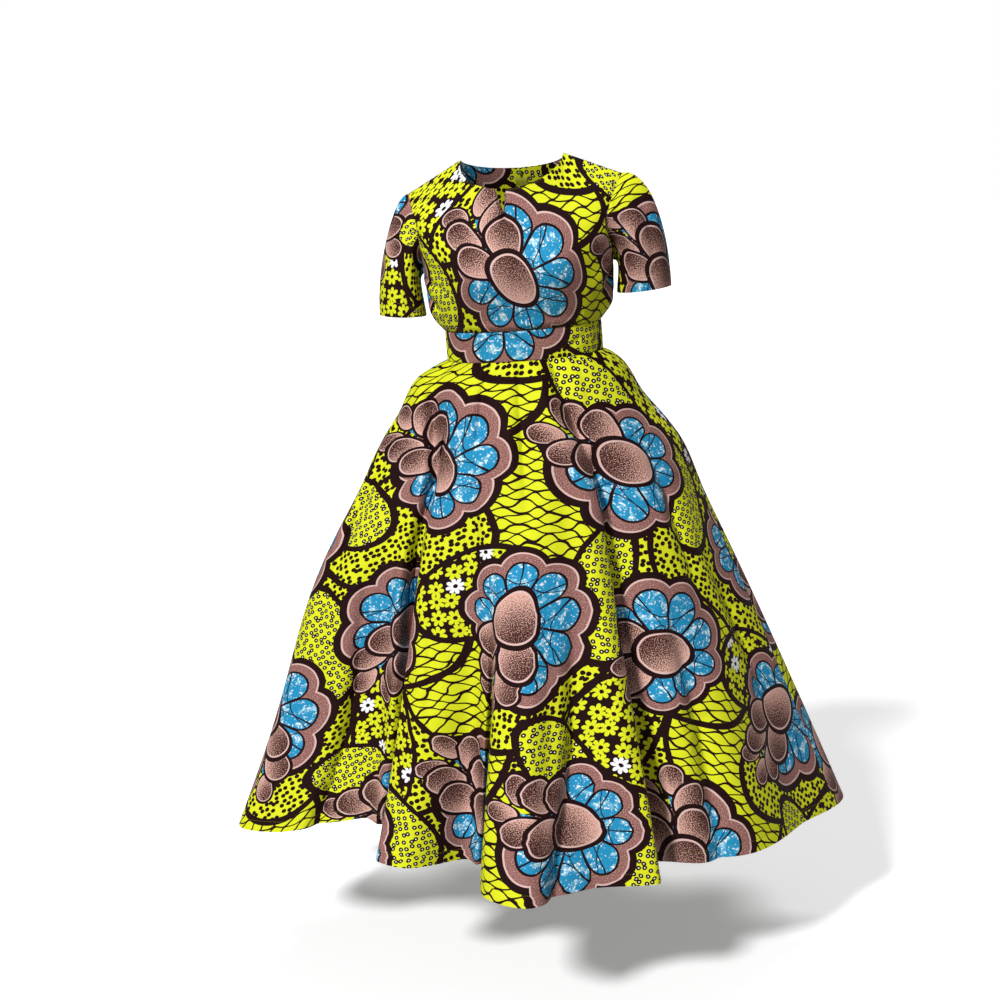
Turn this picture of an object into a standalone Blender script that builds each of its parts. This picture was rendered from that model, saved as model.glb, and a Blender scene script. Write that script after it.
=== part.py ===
"""A wax print dress, worn and hollow: fitted bodice, short set-in sleeves, waistband and long flared skirt.

Metres, +Z up, the front faces -Y and the wearer's left is +X. The origin is the middle of the neck,
level with the two points where the shoulder seams meet the neckline, which is where the wearer holds it.
Each cloth piece is a wall lofted through sections, an outer and an inner skin joined at the cut edges.
"""

import math
from collections import namedtuple

import bmesh
import bpy
import numpy as np
from mathutils import Matrix, Vector

# Cloth and seams
WALL = 0.0015
SEAM_GAP = 0.0003
ARMHOLE_GAP = 0.0005

# How the wearer stands: the right shoulder dips and the shoulders turn a little to the wearer's right
ROLL = math.radians(4.5)
SHOULDER_YAW = math.radians(-14.0)

# Neckline and shoulders
NECK_HALF_WIDTH = 0.095
NECK_SIDE_DEPTH = 0.010
FRONT_NECK_DROP = 0.053
FRONT_NECK_DEPTH = -0.062
BACK_NECK_DROP = 0.022
BACK_NECK_DEPTH = 0.066
SLIT_DEPTH = 0.039
SLIT_HALF_WIDTH = 0.010
SLIT_MIDDLE = -0.008
SHOULDER_TIP = (0.195, 0.012, -0.042)
RIGHT_SHOULDER_DROP = 0.011
SHOULDER_NORMAL = (0.39, 0.0, 0.92)
NECK_SHARE = 0.46

# Waistband
WAIST_TOP = -0.299
WAIST_HEIGHT = 0.053
WAIST_BOTTOM = WAIST_TOP - WAIST_HEIGHT
WAIST_HALF_WIDTH = 0.141
WAIST_FRONT = -0.112
WAIST_BACK = 0.100

# Bust fullness, which the darts under it make
BUST_SPREAD = 0.078
BUST_HEIGHT = -0.192
BUST_FULLNESS = 0.020
BUST_SIZE = 0.052

# Skirt
HEM_HEIGHT = -1.200
HEM_MEAN_RADIUS = 0.493
HEM_SIDE_LEAN = 0.047
HEM_OVALNESS = 0.031
POCKET_MIDDLE = 0.19
POCKET_HALF_HEIGHT = 0.09
POCKET_FRONT_GAPE = 3.2
POCKET_BACK_GAPE = 1.8

# Zip in the centre back seam: its tape inside, its slider in the slot at the neck and its pull tab outside
ZIP_HALF_TAPE = 0.011
ZIP_TAPE_THICKNESS = 0.0008
ZIP_TAPE_GAP = 0.0004
ZIP_END_SHARE = 0.19
ZIP_TOP_SHARE = 0.95
ZIP_SLOT_HALF_WIDTH = 0.0027
ZIP_SLOT_SHARES = (0.884, 0.942)
SLIDER_SHARE = 0.972
SLIDER_SIZE = (0.0046, 0.0043, 0.0090)
SLIDER_PROUD = 0.0008
BRIDGE_SIZE = (0.0016, 0.0038, 0.0068)
BRIDGE_WALL = 0.0010
TAB_PIN_HEIGHT = 0.0017
TAB_THICKNESS = 0.0010
TAB_HALF_WIDTH = 0.0024
TAB_HOLE_HALF_WIDTH = 0.0013
TAB_HOLE = (-0.0046, -0.0005)
TAB_END_CENTRE = -0.0190
TAB_END_RADIUS = 0.0030

# Sections of the bodice, from the waist up. A section runs from its edge, at a side seam or an armhole,
# to the middle of the panel. "share" is how far up the panel it lies.
Section = namedtuple("Section", "share edge_x edge_y edge_z middle_y middle_z")
FRONT_SECTIONS = [
    Section(0.00, WAIST_HALF_WIDTH, 0.0, WAIST_TOP, WAIST_FRONT, WAIST_TOP),
    Section(0.08, 0.157, 0.0, -0.279, -0.121, -0.279),
    Section(0.20, 0.166, 0.0, -0.250, -0.130, -0.250),
    Section(0.42, 0.170, 0.0, -0.195, -0.136, -0.198),
    Section(0.70, 0.169, -0.046, -0.122, -0.104, -0.134),
]
BACK_SECTIONS = [
    Section(0.00, WAIST_HALF_WIDTH, 0.0, WAIST_TOP, WAIST_BACK, WAIST_TOP),
    Section(0.08, 0.157, 0.0, -0.279, 0.102, -0.278),
    Section(0.20, 0.166, 0.0, -0.250, 0.105, -0.248),
    Section(0.42, 0.170, 0.0, -0.195, 0.112, -0.190),
    Section(0.70, 0.177, 0.056, -0.122, 0.108, -0.108),
]
ARMPIT_SHARE = 0.42

# Folds round the hem. "angle" is in degrees from the centre front towards the wearer's left, "radius" from the
# skirt's axis, "lift" above the hem's height and "start" how far down the skirt the fold begins.
Fold = namedtuple("Fold", "angle radius lift start")
FOLDS = [
    Fold(-98, 0.470, 0.010, 0.05),
    Fold(-77, 0.533, 0.000, 0.05),
    Fold(-68, 0.482, 0.008, 0.05),
    Fold(-61, 0.400, 0.028, 0.03),
    Fold(-54, 0.345, 0.042, 0.02),
    Fold(-46, 0.345, 0.040, 0.02),
    Fold(-39, 0.407, 0.002, 0.02),
    Fold(-32, 0.402, 0.000, 0.05),
    Fold(-19, 0.318, 0.000, 0.25),
    Fold(-13, 0.350, 0.000, 0.35),
    Fold(-8, 0.500, 0.000, 0.35),
    Fold(0, 0.543, 0.000, 0.30),
    Fold(6, 0.494, 0.000, 0.20),
    Fold(15, 0.458, 0.000, 0.05),
    Fold(27, 0.478, 0.000, 0.02),
    Fold(35, 0.388, 0.000, 0.00),
    Fold(44, 0.436, 0.000, 0.02),
    Fold(58, 0.484, 0.000, 0.10),
    Fold(77, 0.514, 0.000, 0.10),
    Fold(98, 0.612, 0.000, 0.10),
    Fold(113, 0.505, 0.012, 0.05),
    Fold(128, 0.575, 0.000, 0.05),
    Fold(143, 0.445, 0.020, 0.02),
    Fold(158, 0.535, 0.000, 0.05),
    Fold(174, 0.435, 0.018, 0.02),
    Fold(190, 0.530, 0.000, 0.05),
    Fold(206, 0.430, 0.020, 0.02),
    Fold(222, 0.540, 0.000, 0.05),
    Fold(236, 0.440, 0.015, 0.02),
    Fold(250, 0.525, 0.000, 0.05),
]

# Where the skirt stands out past its even flare or falls inside it, which the hands in the pockets make.
# "angle" and "spread" are in degrees, "share" and "height" are shares of the skirt's length.
Bulge = namedtuple("Bulge", "angle spread share height fullness")
BULGES = [
    Bulge(-85, 28, 0.05, 0.05, 0.016),
    Bulge(-85, 28, 0.17, 0.08, 0.012),
    Bulge(-80, 38, 0.46, 0.25, 0.031),
    Bulge(85, 28, 0.09, 0.05, -0.010),
    Bulge(85, 28, 0.20, 0.08, 0.013),
]
FOLD_POWER = 0.95

# The two sleeves, as hem centre, half width and half depth, how far the hem's outer side is lifted,
# and how far the cap stands out from the shoulder tip before it turns down
Sleeve = namedtuple("Sleeve", "name side hem_x hem_z half_width half_depth lift cap_reach cap_rise")
SLEEVES = [
    Sleeve("sleeve_right", -1, 0.214, -0.266, 0.042, 0.058, 0.004, 0.030, 0.000),
    Sleeve("sleeve_left", 1, 0.222, -0.252, 0.049, 0.061, 0.003, 0.058, 0.006),
]
UNDERARM_REACH = 0.014
CAP_DROP = 0.085
UNDERARM_DROP = 0.018

# Rings of a pocket bag, from its mouth in the side seam forward to its closed end. Angles are in degrees
# from the side seam forward, depths from the skirt's outer skin, and "middle" and "half_height" are shares of the skirt.
Ring = namedtuple("Ring", "forward half_turn depth half_depth middle half_height")
POCKET_RINGS = [
    Ring(0.7, 3.1, 0.0024, 0.000, 0.190, 0.095),
    Ring(1.5, 3.4, 0.0120, 0.004, 0.192, 0.098),
    Ring(4.0, 2.6, 0.0220, 0.011, 0.200, 0.104),
    Ring(9.0, 1.0, 0.0260, 0.015, 0.215, 0.112),
    Ring(17.0, 0.0, 0.0270, 0.016, 0.230, 0.116),
    Ring(25.0, 0.0, 0.0270, 0.013, 0.240, 0.108),
    Ring(31.0, 0.0, 0.0260, 0.006, 0.245, 0.085),
]
POCKET_WALL = 0.0010

# How finely the walls are divided
BODICE_SHARES = np.concatenate([[0.0, 0.04, 0.09, 0.16, 0.28], np.linspace(ARMPIT_SHARE, 1.0, 11)])
FRONT_STEPS = 24
BACK_STEPS = 10
SKIRT_FRONT_STEPS = 56
SKIRT_BACK_STEPS = 28
SKIRT_SHARES = np.array([0.0, 0.012, 0.045, 0.10, 0.13, 0.16, 0.19, 0.22, 0.25, 0.28,
                         0.35, 0.43, 0.51, 0.59, 0.67, 0.75, 0.83, 0.91, 1.0])
SLEEVE_SHARES = np.array([0.0, 0.08, 0.2, 0.34, 0.5, 0.66, 0.83, 1.0])


def unit(vectors):
    """The vectors scaled to length 1."""
    return vectors / np.linalg.norm(vectors, axis=-1, keepdims=True)


def through(knots, values, slopes, at):
    """A cubic curve through the values at the knots, with those slopes, read at the places in at."""
    span = np.clip(np.searchsorted(knots, at, side="right") - 1, 0, len(knots) - 2)
    width = knots[span + 1] - knots[span]
    u = (at - knots[span]) / width
    tail = (1,) * (values.ndim - 1)
    u = u.reshape(u.shape + tail)
    width = width.reshape(width.shape + tail)
    start = values[span] * (1 + 2 * u) * (1 - u) ** 2 + slopes[span] * width * u * (1 - u) ** 2
    end = values[span + 1] * u * u * (3 - 2 * u) + slopes[span + 1] * width * u * u * (u - 1)
    return start + end


def fold_column(column, angle):
    """One column of FOLDS read at any angle, without overshooting its ridges and valleys."""
    angles = np.array([fold.angle for fold in FOLDS], float)
    values = np.array([getattr(fold, column) for fold in FOLDS], float)
    angles = np.concatenate([angles[-2:] - 360, angles, angles[:2] + 360])
    values = np.concatenate([values[-2:], values, values[:2]])
    rise = np.diff(values) / np.diff(angles)
    slopes = np.zeros(len(values))
    same = rise[1:] * rise[:-1] > 0
    slopes[1:-1][same] = 2 * rise[1:][same] * rise[:-1][same] / (rise[1:] + rise[:-1])[same]
    wrapped = (angle - FOLDS[0].angle) % 360 + FOLDS[0].angle
    return through(angles, values, slopes, wrapped)


def pose(points):
    """Turns the shoulders and dips one of them, for points of the upright bodice or waistband."""
    x, y, z = points[..., 0], points[..., 1], points[..., 2]
    rise = np.clip((z - WAIST_TOP) / -WAIST_TOP, 0, 1)
    yaw = SHOULDER_YAW * rise * rise * (3 - 2 * rise)
    turned_x = x * np.cos(yaw) - y * np.sin(yaw)
    turned_y = x * np.sin(yaw) + y * np.cos(yaw)
    posed_x = turned_x * math.cos(ROLL) - z * math.sin(ROLL)
    posed_z = z * math.cos(ROLL) + turned_x * math.sin(ROLL)
    return np.stack([posed_x, turned_y, posed_z], axis=-1)


def top_edge(front, s):
    """The upper edge of a bodice panel: shoulder seam, neckline and shoulder seam."""
    side = np.sign(s)
    along = np.clip((np.abs(s) - NECK_SHARE) / (1 - NECK_SHARE), 0, 1)
    neck = np.clip(s / NECK_SHARE, -1, 1) * math.pi / 2
    drop = FRONT_NECK_DROP if front else BACK_NECK_DROP
    depth = FRONT_NECK_DEPTH if front else BACK_NECK_DEPTH
    neck_x = NECK_HALF_WIDTH * np.sin(neck)
    neck_y = NECK_SIDE_DEPTH + (depth - NECK_SIDE_DEPTH) * np.cos(neck)
    neck_z = -drop * np.cos(neck)
    if front:
        neck_z = neck_z - SLIT_DEPTH * np.clip(1 - np.abs(neck_x - SLIT_MIDDLE) / SLIT_HALF_WIDTH, 0, 1)
    tip_x, tip_y, tip_z = SHOULDER_TIP
    tip_z = tip_z - RIGHT_SHOULDER_DROP * (side < 0)
    x = neck_x + side * (tip_x - NECK_HALF_WIDTH) * along
    y = neck_y + (tip_y - NECK_SIDE_DEPTH) * along
    z = neck_z + tip_z * along
    return np.stack([x, y, z], axis=-1)


def bodice(front, s, share):
    """Upright bodice points: s runs from -1 at the wearer's right to 1 at the left, share from the waist up."""
    sections = FRONT_SECTIONS if front else BACK_SECTIONS
    turn = s * math.pi / 2
    rows = []
    for section in sections:
        x = section.edge_x * np.sin(turn)
        y = section.edge_y + (section.middle_y - section.edge_y) * np.cos(turn)
        z = section.middle_z + (section.edge_z - section.middle_z) * np.sin(turn) ** 2
        rows.append(np.stack([x, y, z], axis=-1))
    rows = np.stack(rows + [top_edge(front, s)])
    knots = np.array([section.share for section in sections] + [1.0])
    slopes = np.gradient(rows, knots, axis=0)
    edge = (np.sin(turn) ** 2)[:, None]
    armpit = list(knots).index(ARMPIT_SHARE)
    below = (rows[armpit] - rows[armpit - 1]) / (knots[armpit] - knots[armpit - 1])
    slopes[armpit] = slopes[armpit] * (1 - edge) + below * edge
    points = through(knots, rows, slopes, share)
    if front:
        across = (np.abs(points[..., 0]) - BUST_SPREAD) / BUST_SIZE
        up = (points[..., 2] - BUST_HEIGHT) / BUST_SIZE
        points[..., 1] -= BUST_FULLNESS * np.exp(-(across**2) - up**2) * np.cos(turn)
    return points


def waist_ring(angle, height, swell=0.0):
    """Upright points of the waist at a height, for angles in degrees from the centre front."""
    turn = np.radians(angle)
    depth = np.where(np.cos(turn) > 0, -WAIST_FRONT, WAIST_BACK) + swell
    x = (WAIST_HALF_WIDTH + swell) * np.sin(turn)
    return np.stack([x, -depth * np.cos(turn), np.full_like(turn, height)], axis=-1)


def growth(share):
    """How far the skirt has flared from the waist to the hem: it stands out at once and then falls."""
    ease = (1 - np.exp(-5 * share)) / (1 - math.exp(-5))
    return 0.80 * share + 0.14 * ease + 0.06 * (1 - np.exp(-60 * share))


def skirt(angle, share):
    """Points of the skirt's outer skin, angle in degrees from the centre front, share from waist to hem."""
    turn = np.radians(angle)
    top = pose(waist_ring(angle, WAIST_BOTTOM - SEAM_GAP))
    axis_x = -WAIST_BOTTOM * math.sin(ROLL)
    mean = HEM_MEAN_RADIUS + HEM_SIDE_LEAN * np.sin(turn) - HEM_OVALNESS * np.cos(2 * turn)
    start = fold_column("start", angle)
    fold = np.clip((share - start) / (1 - start), 0, 1) ** FOLD_POWER
    extra = (fold_column("radius", angle) - mean) * fold
    for bulge in BULGES:
        across = ((angle - bulge.angle + 180) % 360 - 180) / bulge.spread
        down = (share - bulge.share) / bulge.height
        extra = extra + bulge.fullness * np.exp(-(across**2) - down**2) * np.clip(share / 0.03, 0, 1)
    g = growth(share)
    x = top[..., 0] * (1 - g) + (axis_x + mean * np.sin(turn)) * g + extra * np.sin(turn)
    y = top[..., 1] * (1 - g) - mean * np.cos(turn) * g - extra * np.cos(turn)
    hem_z = HEM_HEIGHT + fold_column("lift", angle)
    z = top[..., 2] * (1 - share) + hem_z * share
    return np.stack([x, y, z], axis=-1)


def skirt_normal(angle, share):
    """Outward direction of the skirt's skin."""
    turn_step, share_step = 0.05, 0.002
    upper = np.maximum(share - share_step, 0)
    lower = np.minimum(share + share_step, 1)
    across = skirt(angle + turn_step, share) - skirt(angle - turn_step, share)
    down = skirt(angle, lower) - skirt(angle, upper)
    return unit(np.cross(down, across))


def seam_opening(share):
    """How far a pocket's mouth stands open at that height, from 0 to 1."""
    return np.clip(1 - ((share - POCKET_MIDDLE) / POCKET_HALF_HEIGHT) ** 2, 0, 1)


def evenly(first, last, share, steps):
    """Angles between two angles of the skirt that divide its ring at one height into equal lengths."""
    angles = np.linspace(first, last, 1441)
    lengths = np.linalg.norm(np.diff(skirt(angles, np.full_like(angles, share)), axis=0), axis=-1)
    run = np.concatenate([[0], np.cumsum(lengths)])
    return np.interp(np.linspace(0, run[-1], steps + 1), run, angles)


def grid_normals(points):
    """Outward directions of a grid of points, row by row up and column by column to the wearer's left."""
    up = np.gradient(points, axis=0)
    across = np.gradient(points, axis=1)
    return unit(np.cross(across, up))


def armhole_normal(side, turn):
    """The direction that the bodice's and the sleeve's cut edges share round an armhole, 0 at the shoulder."""
    under = (1 - np.cos(turn)) / 2
    up = np.where(np.cos(turn) < 0, 0.7, 1.0) * np.cos(turn)
    return unit(np.stack([side * (0.4 + 0.3 * under), -np.sin(turn), up], axis=-1))


def fabric(name, colour, roughness, metallic=0.0):
    """A plain material of that colour."""
    material = bpy.data.materials.new(name)
    material.use_nodes = True
    shader = material.node_tree.nodes["Principled BSDF"]
    shader.inputs["Base Color"].default_value = (*colour, 1.0)
    shader.inputs["Roughness"].default_value = roughness
    shader.inputs["Metallic"].default_value = metallic
    return material


def add_object(name, shape, material):
    """Puts a finished bmesh into the dress's collection under that name."""
    bmesh.ops.recalc_face_normals(shape, faces=shape.faces)
    mesh = bpy.data.meshes.new(name)
    shape.to_mesh(mesh)
    shape.free()
    mesh.materials.append(material)
    mesh.shade_smooth()
    mesh.set_sharp_from_angle(angle=math.radians(50))
    piece = bpy.data.objects.new(name, mesh)
    DRESS.objects.link(piece)
    return piece


def add_wall(name, outer, inner, material, closed=False):
    """A cloth wall between an outer and an inner grid of points, closed on itself if it is a tube."""
    shape = bmesh.new()
    rows, columns = outer.shape[:2]
    skins = [[[shape.verts.new(point) for point in row] for row in grid] for grid in (outer, inner)]
    last = columns if closed else columns - 1
    for skin in skins:
        for r in range(rows - 1):
            for c in range(last):
                n = (c + 1) % columns
                shape.faces.new((skin[r][c], skin[r][n], skin[r + 1][n], skin[r + 1][c]))
    for r in (0, rows - 1):
        for c in range(last):
            n = (c + 1) % columns
            shape.faces.new((skins[0][r][c], skins[0][r][n], skins[1][r][n], skins[1][r][c]))
    if not closed:
        for c in (0, columns - 1):
            for r in range(rows - 1):
                shape.faces.new((skins[0][r][c], skins[0][r + 1][c], skins[1][r + 1][c], skins[1][r][c]))
    bmesh.ops.triangulate(shape, faces=shape.faces)
    return add_object(name, shape, material)


def bodice_panel(name, front, s, material):
    """One bodice panel, its wall and its cut edges."""
    share = BODICE_SHARES
    points = bodice(front, s, share)
    normals = grid_normals(points)
    if not front:
        normals = -normals
    forward = -1 if front else 1
    for column, side in ((0, np.sign(s[0])), (-1, np.sign(s[-1]))):
        if abs(s[column]) == 1:
            normals[:, column] = (side, 0.0, 0.0)
            points[:, column, 1] += forward * SEAM_GAP / 2
            turn = (1 - (share - ARMPIT_SHARE) / (1 - ARMPIT_SHARE)) * math.pi
            above = share >= ARMPIT_SHARE
            shared = armhole_normal(side, turn if front else -turn)
            normals[above, column] = shared[above]
        else:
            side = np.sign(s.mean())
            normals[:, column, 0] = 0
            normals[:, column] = unit(normals[:, column])
            opened = np.interp(share, ZIP_SLOT_SHARES, [SEAM_GAP / 2, ZIP_SLOT_HALF_WIDTH])
            points[:, column, 0] += side * opened
    shoulder = np.abs(s) >= NECK_SHARE
    points[-1, shoulder, 1] += forward * SEAM_GAP / 2
    seam_x, seam_y, seam_z = SHOULDER_NORMAL
    normals[-1, shoulder] = [(seam_x * side, seam_y, seam_z) for side in np.sign(s[shoulder])]
    normals[-1] = unit(normals[-1])
    normals[0, :, 2] = 0
    normals[0] = unit(normals[0])
    outer, inner = pose(points), pose(points - WALL * normals)
    add_wall(name, outer, inner, material)
    return outer, inner


def waistband_panel(name, first, last, steps, material):
    """One length of the waistband."""
    angles = np.linspace(first, last, steps + 1)
    half_gap = math.degrees(SEAM_GAP / 2 / WAIST_BACK)
    angles[0] += half_gap
    angles[-1] -= half_gap
    heights = np.linspace(WAIST_BOTTOM, WAIST_TOP - SEAM_GAP, 4)
    outer = np.stack([waist_ring(angles, height) for height in heights])
    inner = np.stack([waist_ring(angles, height, -WALL) for height in heights])
    add_wall(name, pose(outer), pose(inner), material)
    return pose(outer), pose(inner)


def skirt_panel(name, first, last, steps, material):
    """One skirt panel between two seams, cut away at the mouths of the pockets."""
    outer, inner = [], []
    for share in SKIRT_SHARES:
        half_gap = math.degrees(SEAM_GAP / 2 / WAIST_BACK)
        opening = seam_opening(share)
        gape = {-90: POCKET_FRONT_GAPE, 90: POCKET_BACK_GAPE, 270: -POCKET_BACK_GAPE}
        begin = first + half_gap + (gape[first] * opening if first in gape else 0)
        if last == 90:
            end = last - half_gap - POCKET_FRONT_GAPE * opening
        elif last == 270:
            end = last - half_gap - POCKET_BACK_GAPE * opening
        else:
            end = last - half_gap
        angles = evenly(begin, end, share, steps)
        shares = np.full_like(angles, share)
        points = skirt(angles, shares)
        if share == 0:
            within = pose(waist_ring(angles, WAIST_BOTTOM - SEAM_GAP, -WALL))
        else:
            within = points - WALL * skirt_normal(angles, shares)
        outer.append(points)
        inner.append(within)
    add_wall(name, np.stack(outer), np.stack(inner), material)
    return np.stack(outer), np.stack(inner)


def sleeve_tube(sleeve, material):
    """A short set-in sleeve, from the armhole round the bodice panels' own edge points to its hem."""
    shares = BODICE_SHARES[BODICE_SHARES >= ARMPIT_SHARE]
    edge = np.array([float(sleeve.side)])
    front = bodice(True, edge, shares)[::-1, 0]
    back = bodice(False, edge, shares)[:, 0]
    ring = np.concatenate([front, back[1:-1]])
    climb = (shares - ARMPIT_SHARE) / (1 - ARMPIT_SHARE)
    turn = np.concatenate([(1 - climb[::-1]) * math.pi, (1 + climb[1:-1]) * math.pi])
    normals = armhole_normal(sleeve.side, turn)
    along = unit(np.roll(ring, -1, axis=0) - np.roll(ring, 1, axis=0))
    away = unit(np.cross(normals, along) * -sleeve.side)
    away *= np.sign((away * [sleeve.side, 0, -0.3]).sum(axis=-1, keepdims=True))
    start = ring + away * ARMHOLE_GAP
    hem_x = sleeve.side * (sleeve.hem_x + sleeve.half_width * np.cos(turn))
    hem_y = 0.008 - sleeve.half_depth * np.sin(turn)
    hem_z = sleeve.hem_z + sleeve.lift * np.cos(turn)
    hem = np.stack([hem_x, hem_y, hem_z], axis=-1)
    raised = (1 + np.cos(turn)) / 2
    reach = UNDERARM_REACH + (sleeve.cap_reach - UNDERARM_REACH) * raised
    drop = UNDERARM_DROP + (CAP_DROP - UNDERARM_DROP) * raised
    nothing = np.zeros_like(turn)
    out_of_armhole = start + np.stack([sleeve.side * reach, nothing, sleeve.cap_rise * raised], axis=-1)
    above_hem = hem + np.stack([nothing, nothing, drop], axis=-1)
    t = SLEEVE_SHARES[:, None, None]
    outer = start * (1 - t) ** 3 + out_of_armhole * 3 * t * (1 - t) ** 2
    outer = outer + above_hem * 3 * t * t * (1 - t) + hem * t**3
    up = np.gradient(outer, axis=0)
    around = np.roll(outer, -1, axis=1) - np.roll(outer, 1, axis=1)
    skin = unit(np.cross(up, around)) * sleeve.side
    skin[0] = normals
    add_wall(sleeve.name, pose(outer), pose(outer - WALL * skin), material, closed=True)


def pocket_bag(name, side, material):
    """A pocket bag, filled out as by a hand: rings from the mouth in the side seam forward to a closed end."""
    turn = np.linspace(0, 2 * math.pi, 18, endpoint=False)
    skins = []
    for wall in (0.0, POCKET_WALL):
        rings = []
        for ring in POCKET_RINGS:
            half_turn = max(ring.half_turn - math.degrees(wall / 0.24) * (ring.half_turn > 0), 0)
            half_depth = max(ring.half_depth - wall * (ring.half_depth > 0), 0)
            half_height = ring.half_height - 1.6 * wall
            angle = side * (90 - ring.forward + half_turn * np.sin(turn))
            share = ring.middle + half_height * np.cos(turn)
            depth = ring.depth + half_depth * np.sin(turn)
            rings.append(skirt(angle, share) - depth[:, None] * skirt_normal(angle, share))
        skins.append(np.stack(rings))
    shape = bmesh.new()
    made = [[[shape.verts.new(point) for point in row] for row in grid] for grid in skins]
    count = len(turn)
    for skin, grid in zip(made, skins):
        for r in range(len(skin) - 1):
            for c in range(count):
                n = (c + 1) % count
                shape.faces.new((skin[r][c], skin[r][n], skin[r + 1][n], skin[r + 1][c]))
        middle = shape.verts.new(grid[-1].mean(axis=0))
        for c in range(count):
            shape.faces.new((skin[-1][c], skin[-1][(c + 1) % count], middle))
    for c in range(count):
        n = (c + 1) % count
        shape.faces.new((made[0][0][c], made[0][0][n], made[1][0][n], made[1][0][c]))
    bmesh.ops.triangulate(shape, faces=shape.faces)
    add_object(name, shape, material)


def zip_tape(name, left_panels, right_panels, material):
    """The zip's tape, a strip inside the centre back seam made from the back panels' own inner points.

    Each list holds a bodice, waistband and skirt panel as outer points, inner points, the column at the seam,
    the column beside it and the rows from the top.
    """
    rows = []
    for left, right in zip(left_panels, right_panels):
        for row in left[4]:
            sides = []
            for outer, inner, seam, beside, _ in (left, right):
                inward = unit(inner[row, seam] - outer[row, seam])
                along = unit(inner[row, beside] - inner[row, seam])
                sides.append((inner[row, seam], inner[row, seam] + along * ZIP_HALF_TAPE, inward))
            (seam_left, far_left, in_left), (seam_right, far_right, in_right) = sides
            middle = (seam_left + seam_right) / 2
            middle_in = unit(in_left + in_right)
            inwards = np.stack([in_left, middle_in, in_right])
            near = np.stack([far_left, middle, far_right]) + inwards * ZIP_TAPE_GAP
            rows.append((near, near + inwards * ZIP_TAPE_THICKNESS))
    outer = np.stack([row[0] for row in rows])
    inner = np.stack([row[1] for row in rows])
    add_wall(name, outer, inner, material)


def zip_frame():
    """Where the slider sits: X across the seam, Y out of the back, Z up the seam."""
    share = np.array([SLIDER_SHARE - 0.01, SLIDER_SHARE, SLIDER_SHARE + 0.01])
    line = pose(bodice(False, np.array([-0.02, 0.0, 0.02]), share))
    across = Vector(line[1, 2] - line[1, 0]).normalized()
    up = Vector(line[2, 1] - line[0, 1]).normalized()
    out = up.cross(across).normalized()
    frame = Matrix((across, out, up)).transposed().to_4x4()
    frame.translation = Vector(line[1, 1])
    return frame


def block(name, size, centre, frame, collection):
    """A box of that size, centred at a point of the frame."""
    shape = bmesh.new()
    bmesh.ops.create_cube(shape, size=1.0)
    bmesh.ops.scale(shape, vec=size, verts=shape.verts)
    bmesh.ops.translate(shape, vec=centre, verts=shape.verts)
    bmesh.ops.transform(shape, matrix=frame, verts=shape.verts)
    mesh = bpy.data.meshes.new(name)
    shape.to_mesh(mesh)
    shape.free()
    piece = bpy.data.objects.new(name, mesh)
    collection.objects.link(piece)
    return piece


def cut_or_join(piece, tool, operation):
    """Adds a Boolean with another block, which is hidden as a cutter."""
    modifier = piece.modifiers.new(operation.lower(), "BOOLEAN")
    modifier.operation = operation
    modifier.object = tool
    tool.hide_render = True
    tool.display_type = "WIRE"


def zip_slider(name, frame, material):
    """The slider: a body in the slot of the seam, and on its outside the bridge that holds the pull tab."""
    width, depth, height = SLIDER_SIZE
    body = block(name, SLIDER_SIZE, (0, SLIDER_PROUD - depth / 2, 0), frame, DRESS)
    body.data.materials.append(material)
    bridge_width, bridge_height, bridge_length = BRIDGE_SIZE
    bridge = block("bridge", BRIDGE_SIZE, (0, bridge_height / 2, 0), frame, CUTTERS)
    cut_or_join(body, bridge, "UNION")
    opening_height = bridge_height - BRIDGE_WALL - SLIDER_PROUD
    opening_size = (width, opening_height, bridge_length - 2 * BRIDGE_WALL)
    opening = block("bridge_opening", opening_size, (0, SLIDER_PROUD + opening_height / 2, 0), frame, CUTTERS)
    cut_or_join(body, opening, "DIFFERENCE")


def pull_tab(name, frame, material):
    """The pull tab: a flat plate whose top bar passes under the slider's bridge, hanging down the seam."""
    top = TAB_THICKNESS / 2
    around = np.linspace(0, math.pi, 9)
    round_end = [(TAB_END_RADIUS * math.cos(a), TAB_END_CENTRE - TAB_END_RADIUS * math.sin(a)) for a in around]
    outline = [(-TAB_HALF_WIDTH, top), (TAB_HALF_WIDTH, top)] + round_end
    low, high = TAB_HOLE
    hole = [(-TAB_HOLE_HALF_WIDTH, low), (TAB_HOLE_HALF_WIDTH, low), (TAB_HOLE_HALF_WIDTH, high),
            (-TAB_HOLE_HALF_WIDTH, high)]
    curve = bpy.data.curves.new(name, "CURVE")
    curve.dimensions = "2D"
    curve.fill_mode = "BOTH"
    curve.extrude = TAB_THICKNESS / 2
    for points in (outline, hole):
        spline = curve.splines.new("POLY")
        spline.points.add(len(points) - 1)
        for point, (x, y) in zip(spline.points, points):
            point.co = (x, y, 0, 1)
        spline.use_cyclic_u = True
    curve.materials.append(material)
    plate = bpy.data.objects.new(name, curve)
    DRESS.objects.link(plate)
    upright = Matrix.Rotation(math.pi / 2, 4, "X")
    plate.matrix_world = frame @ Matrix.Translation((0, TAB_PIN_HEIGHT, 0)) @ upright


for old in list(bpy.data.objects):
    bpy.data.objects.remove(old)
DRESS = bpy.data.collections.new("wax_print_dress")
CUTTERS = bpy.data.collections.new("cutters")
for collection in (DRESS, CUTTERS):
    bpy.context.scene.collection.children.link(collection)

PRINT = fabric("wax_print", (0.62, 0.66, 0.05), 0.75)
TAPE = fabric("zip_tape", (0.55, 0.60, 0.06), 0.80)
METAL = fabric("zip_metal", (0.60, 0.62, 0.10), 0.40, 0.6)

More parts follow.
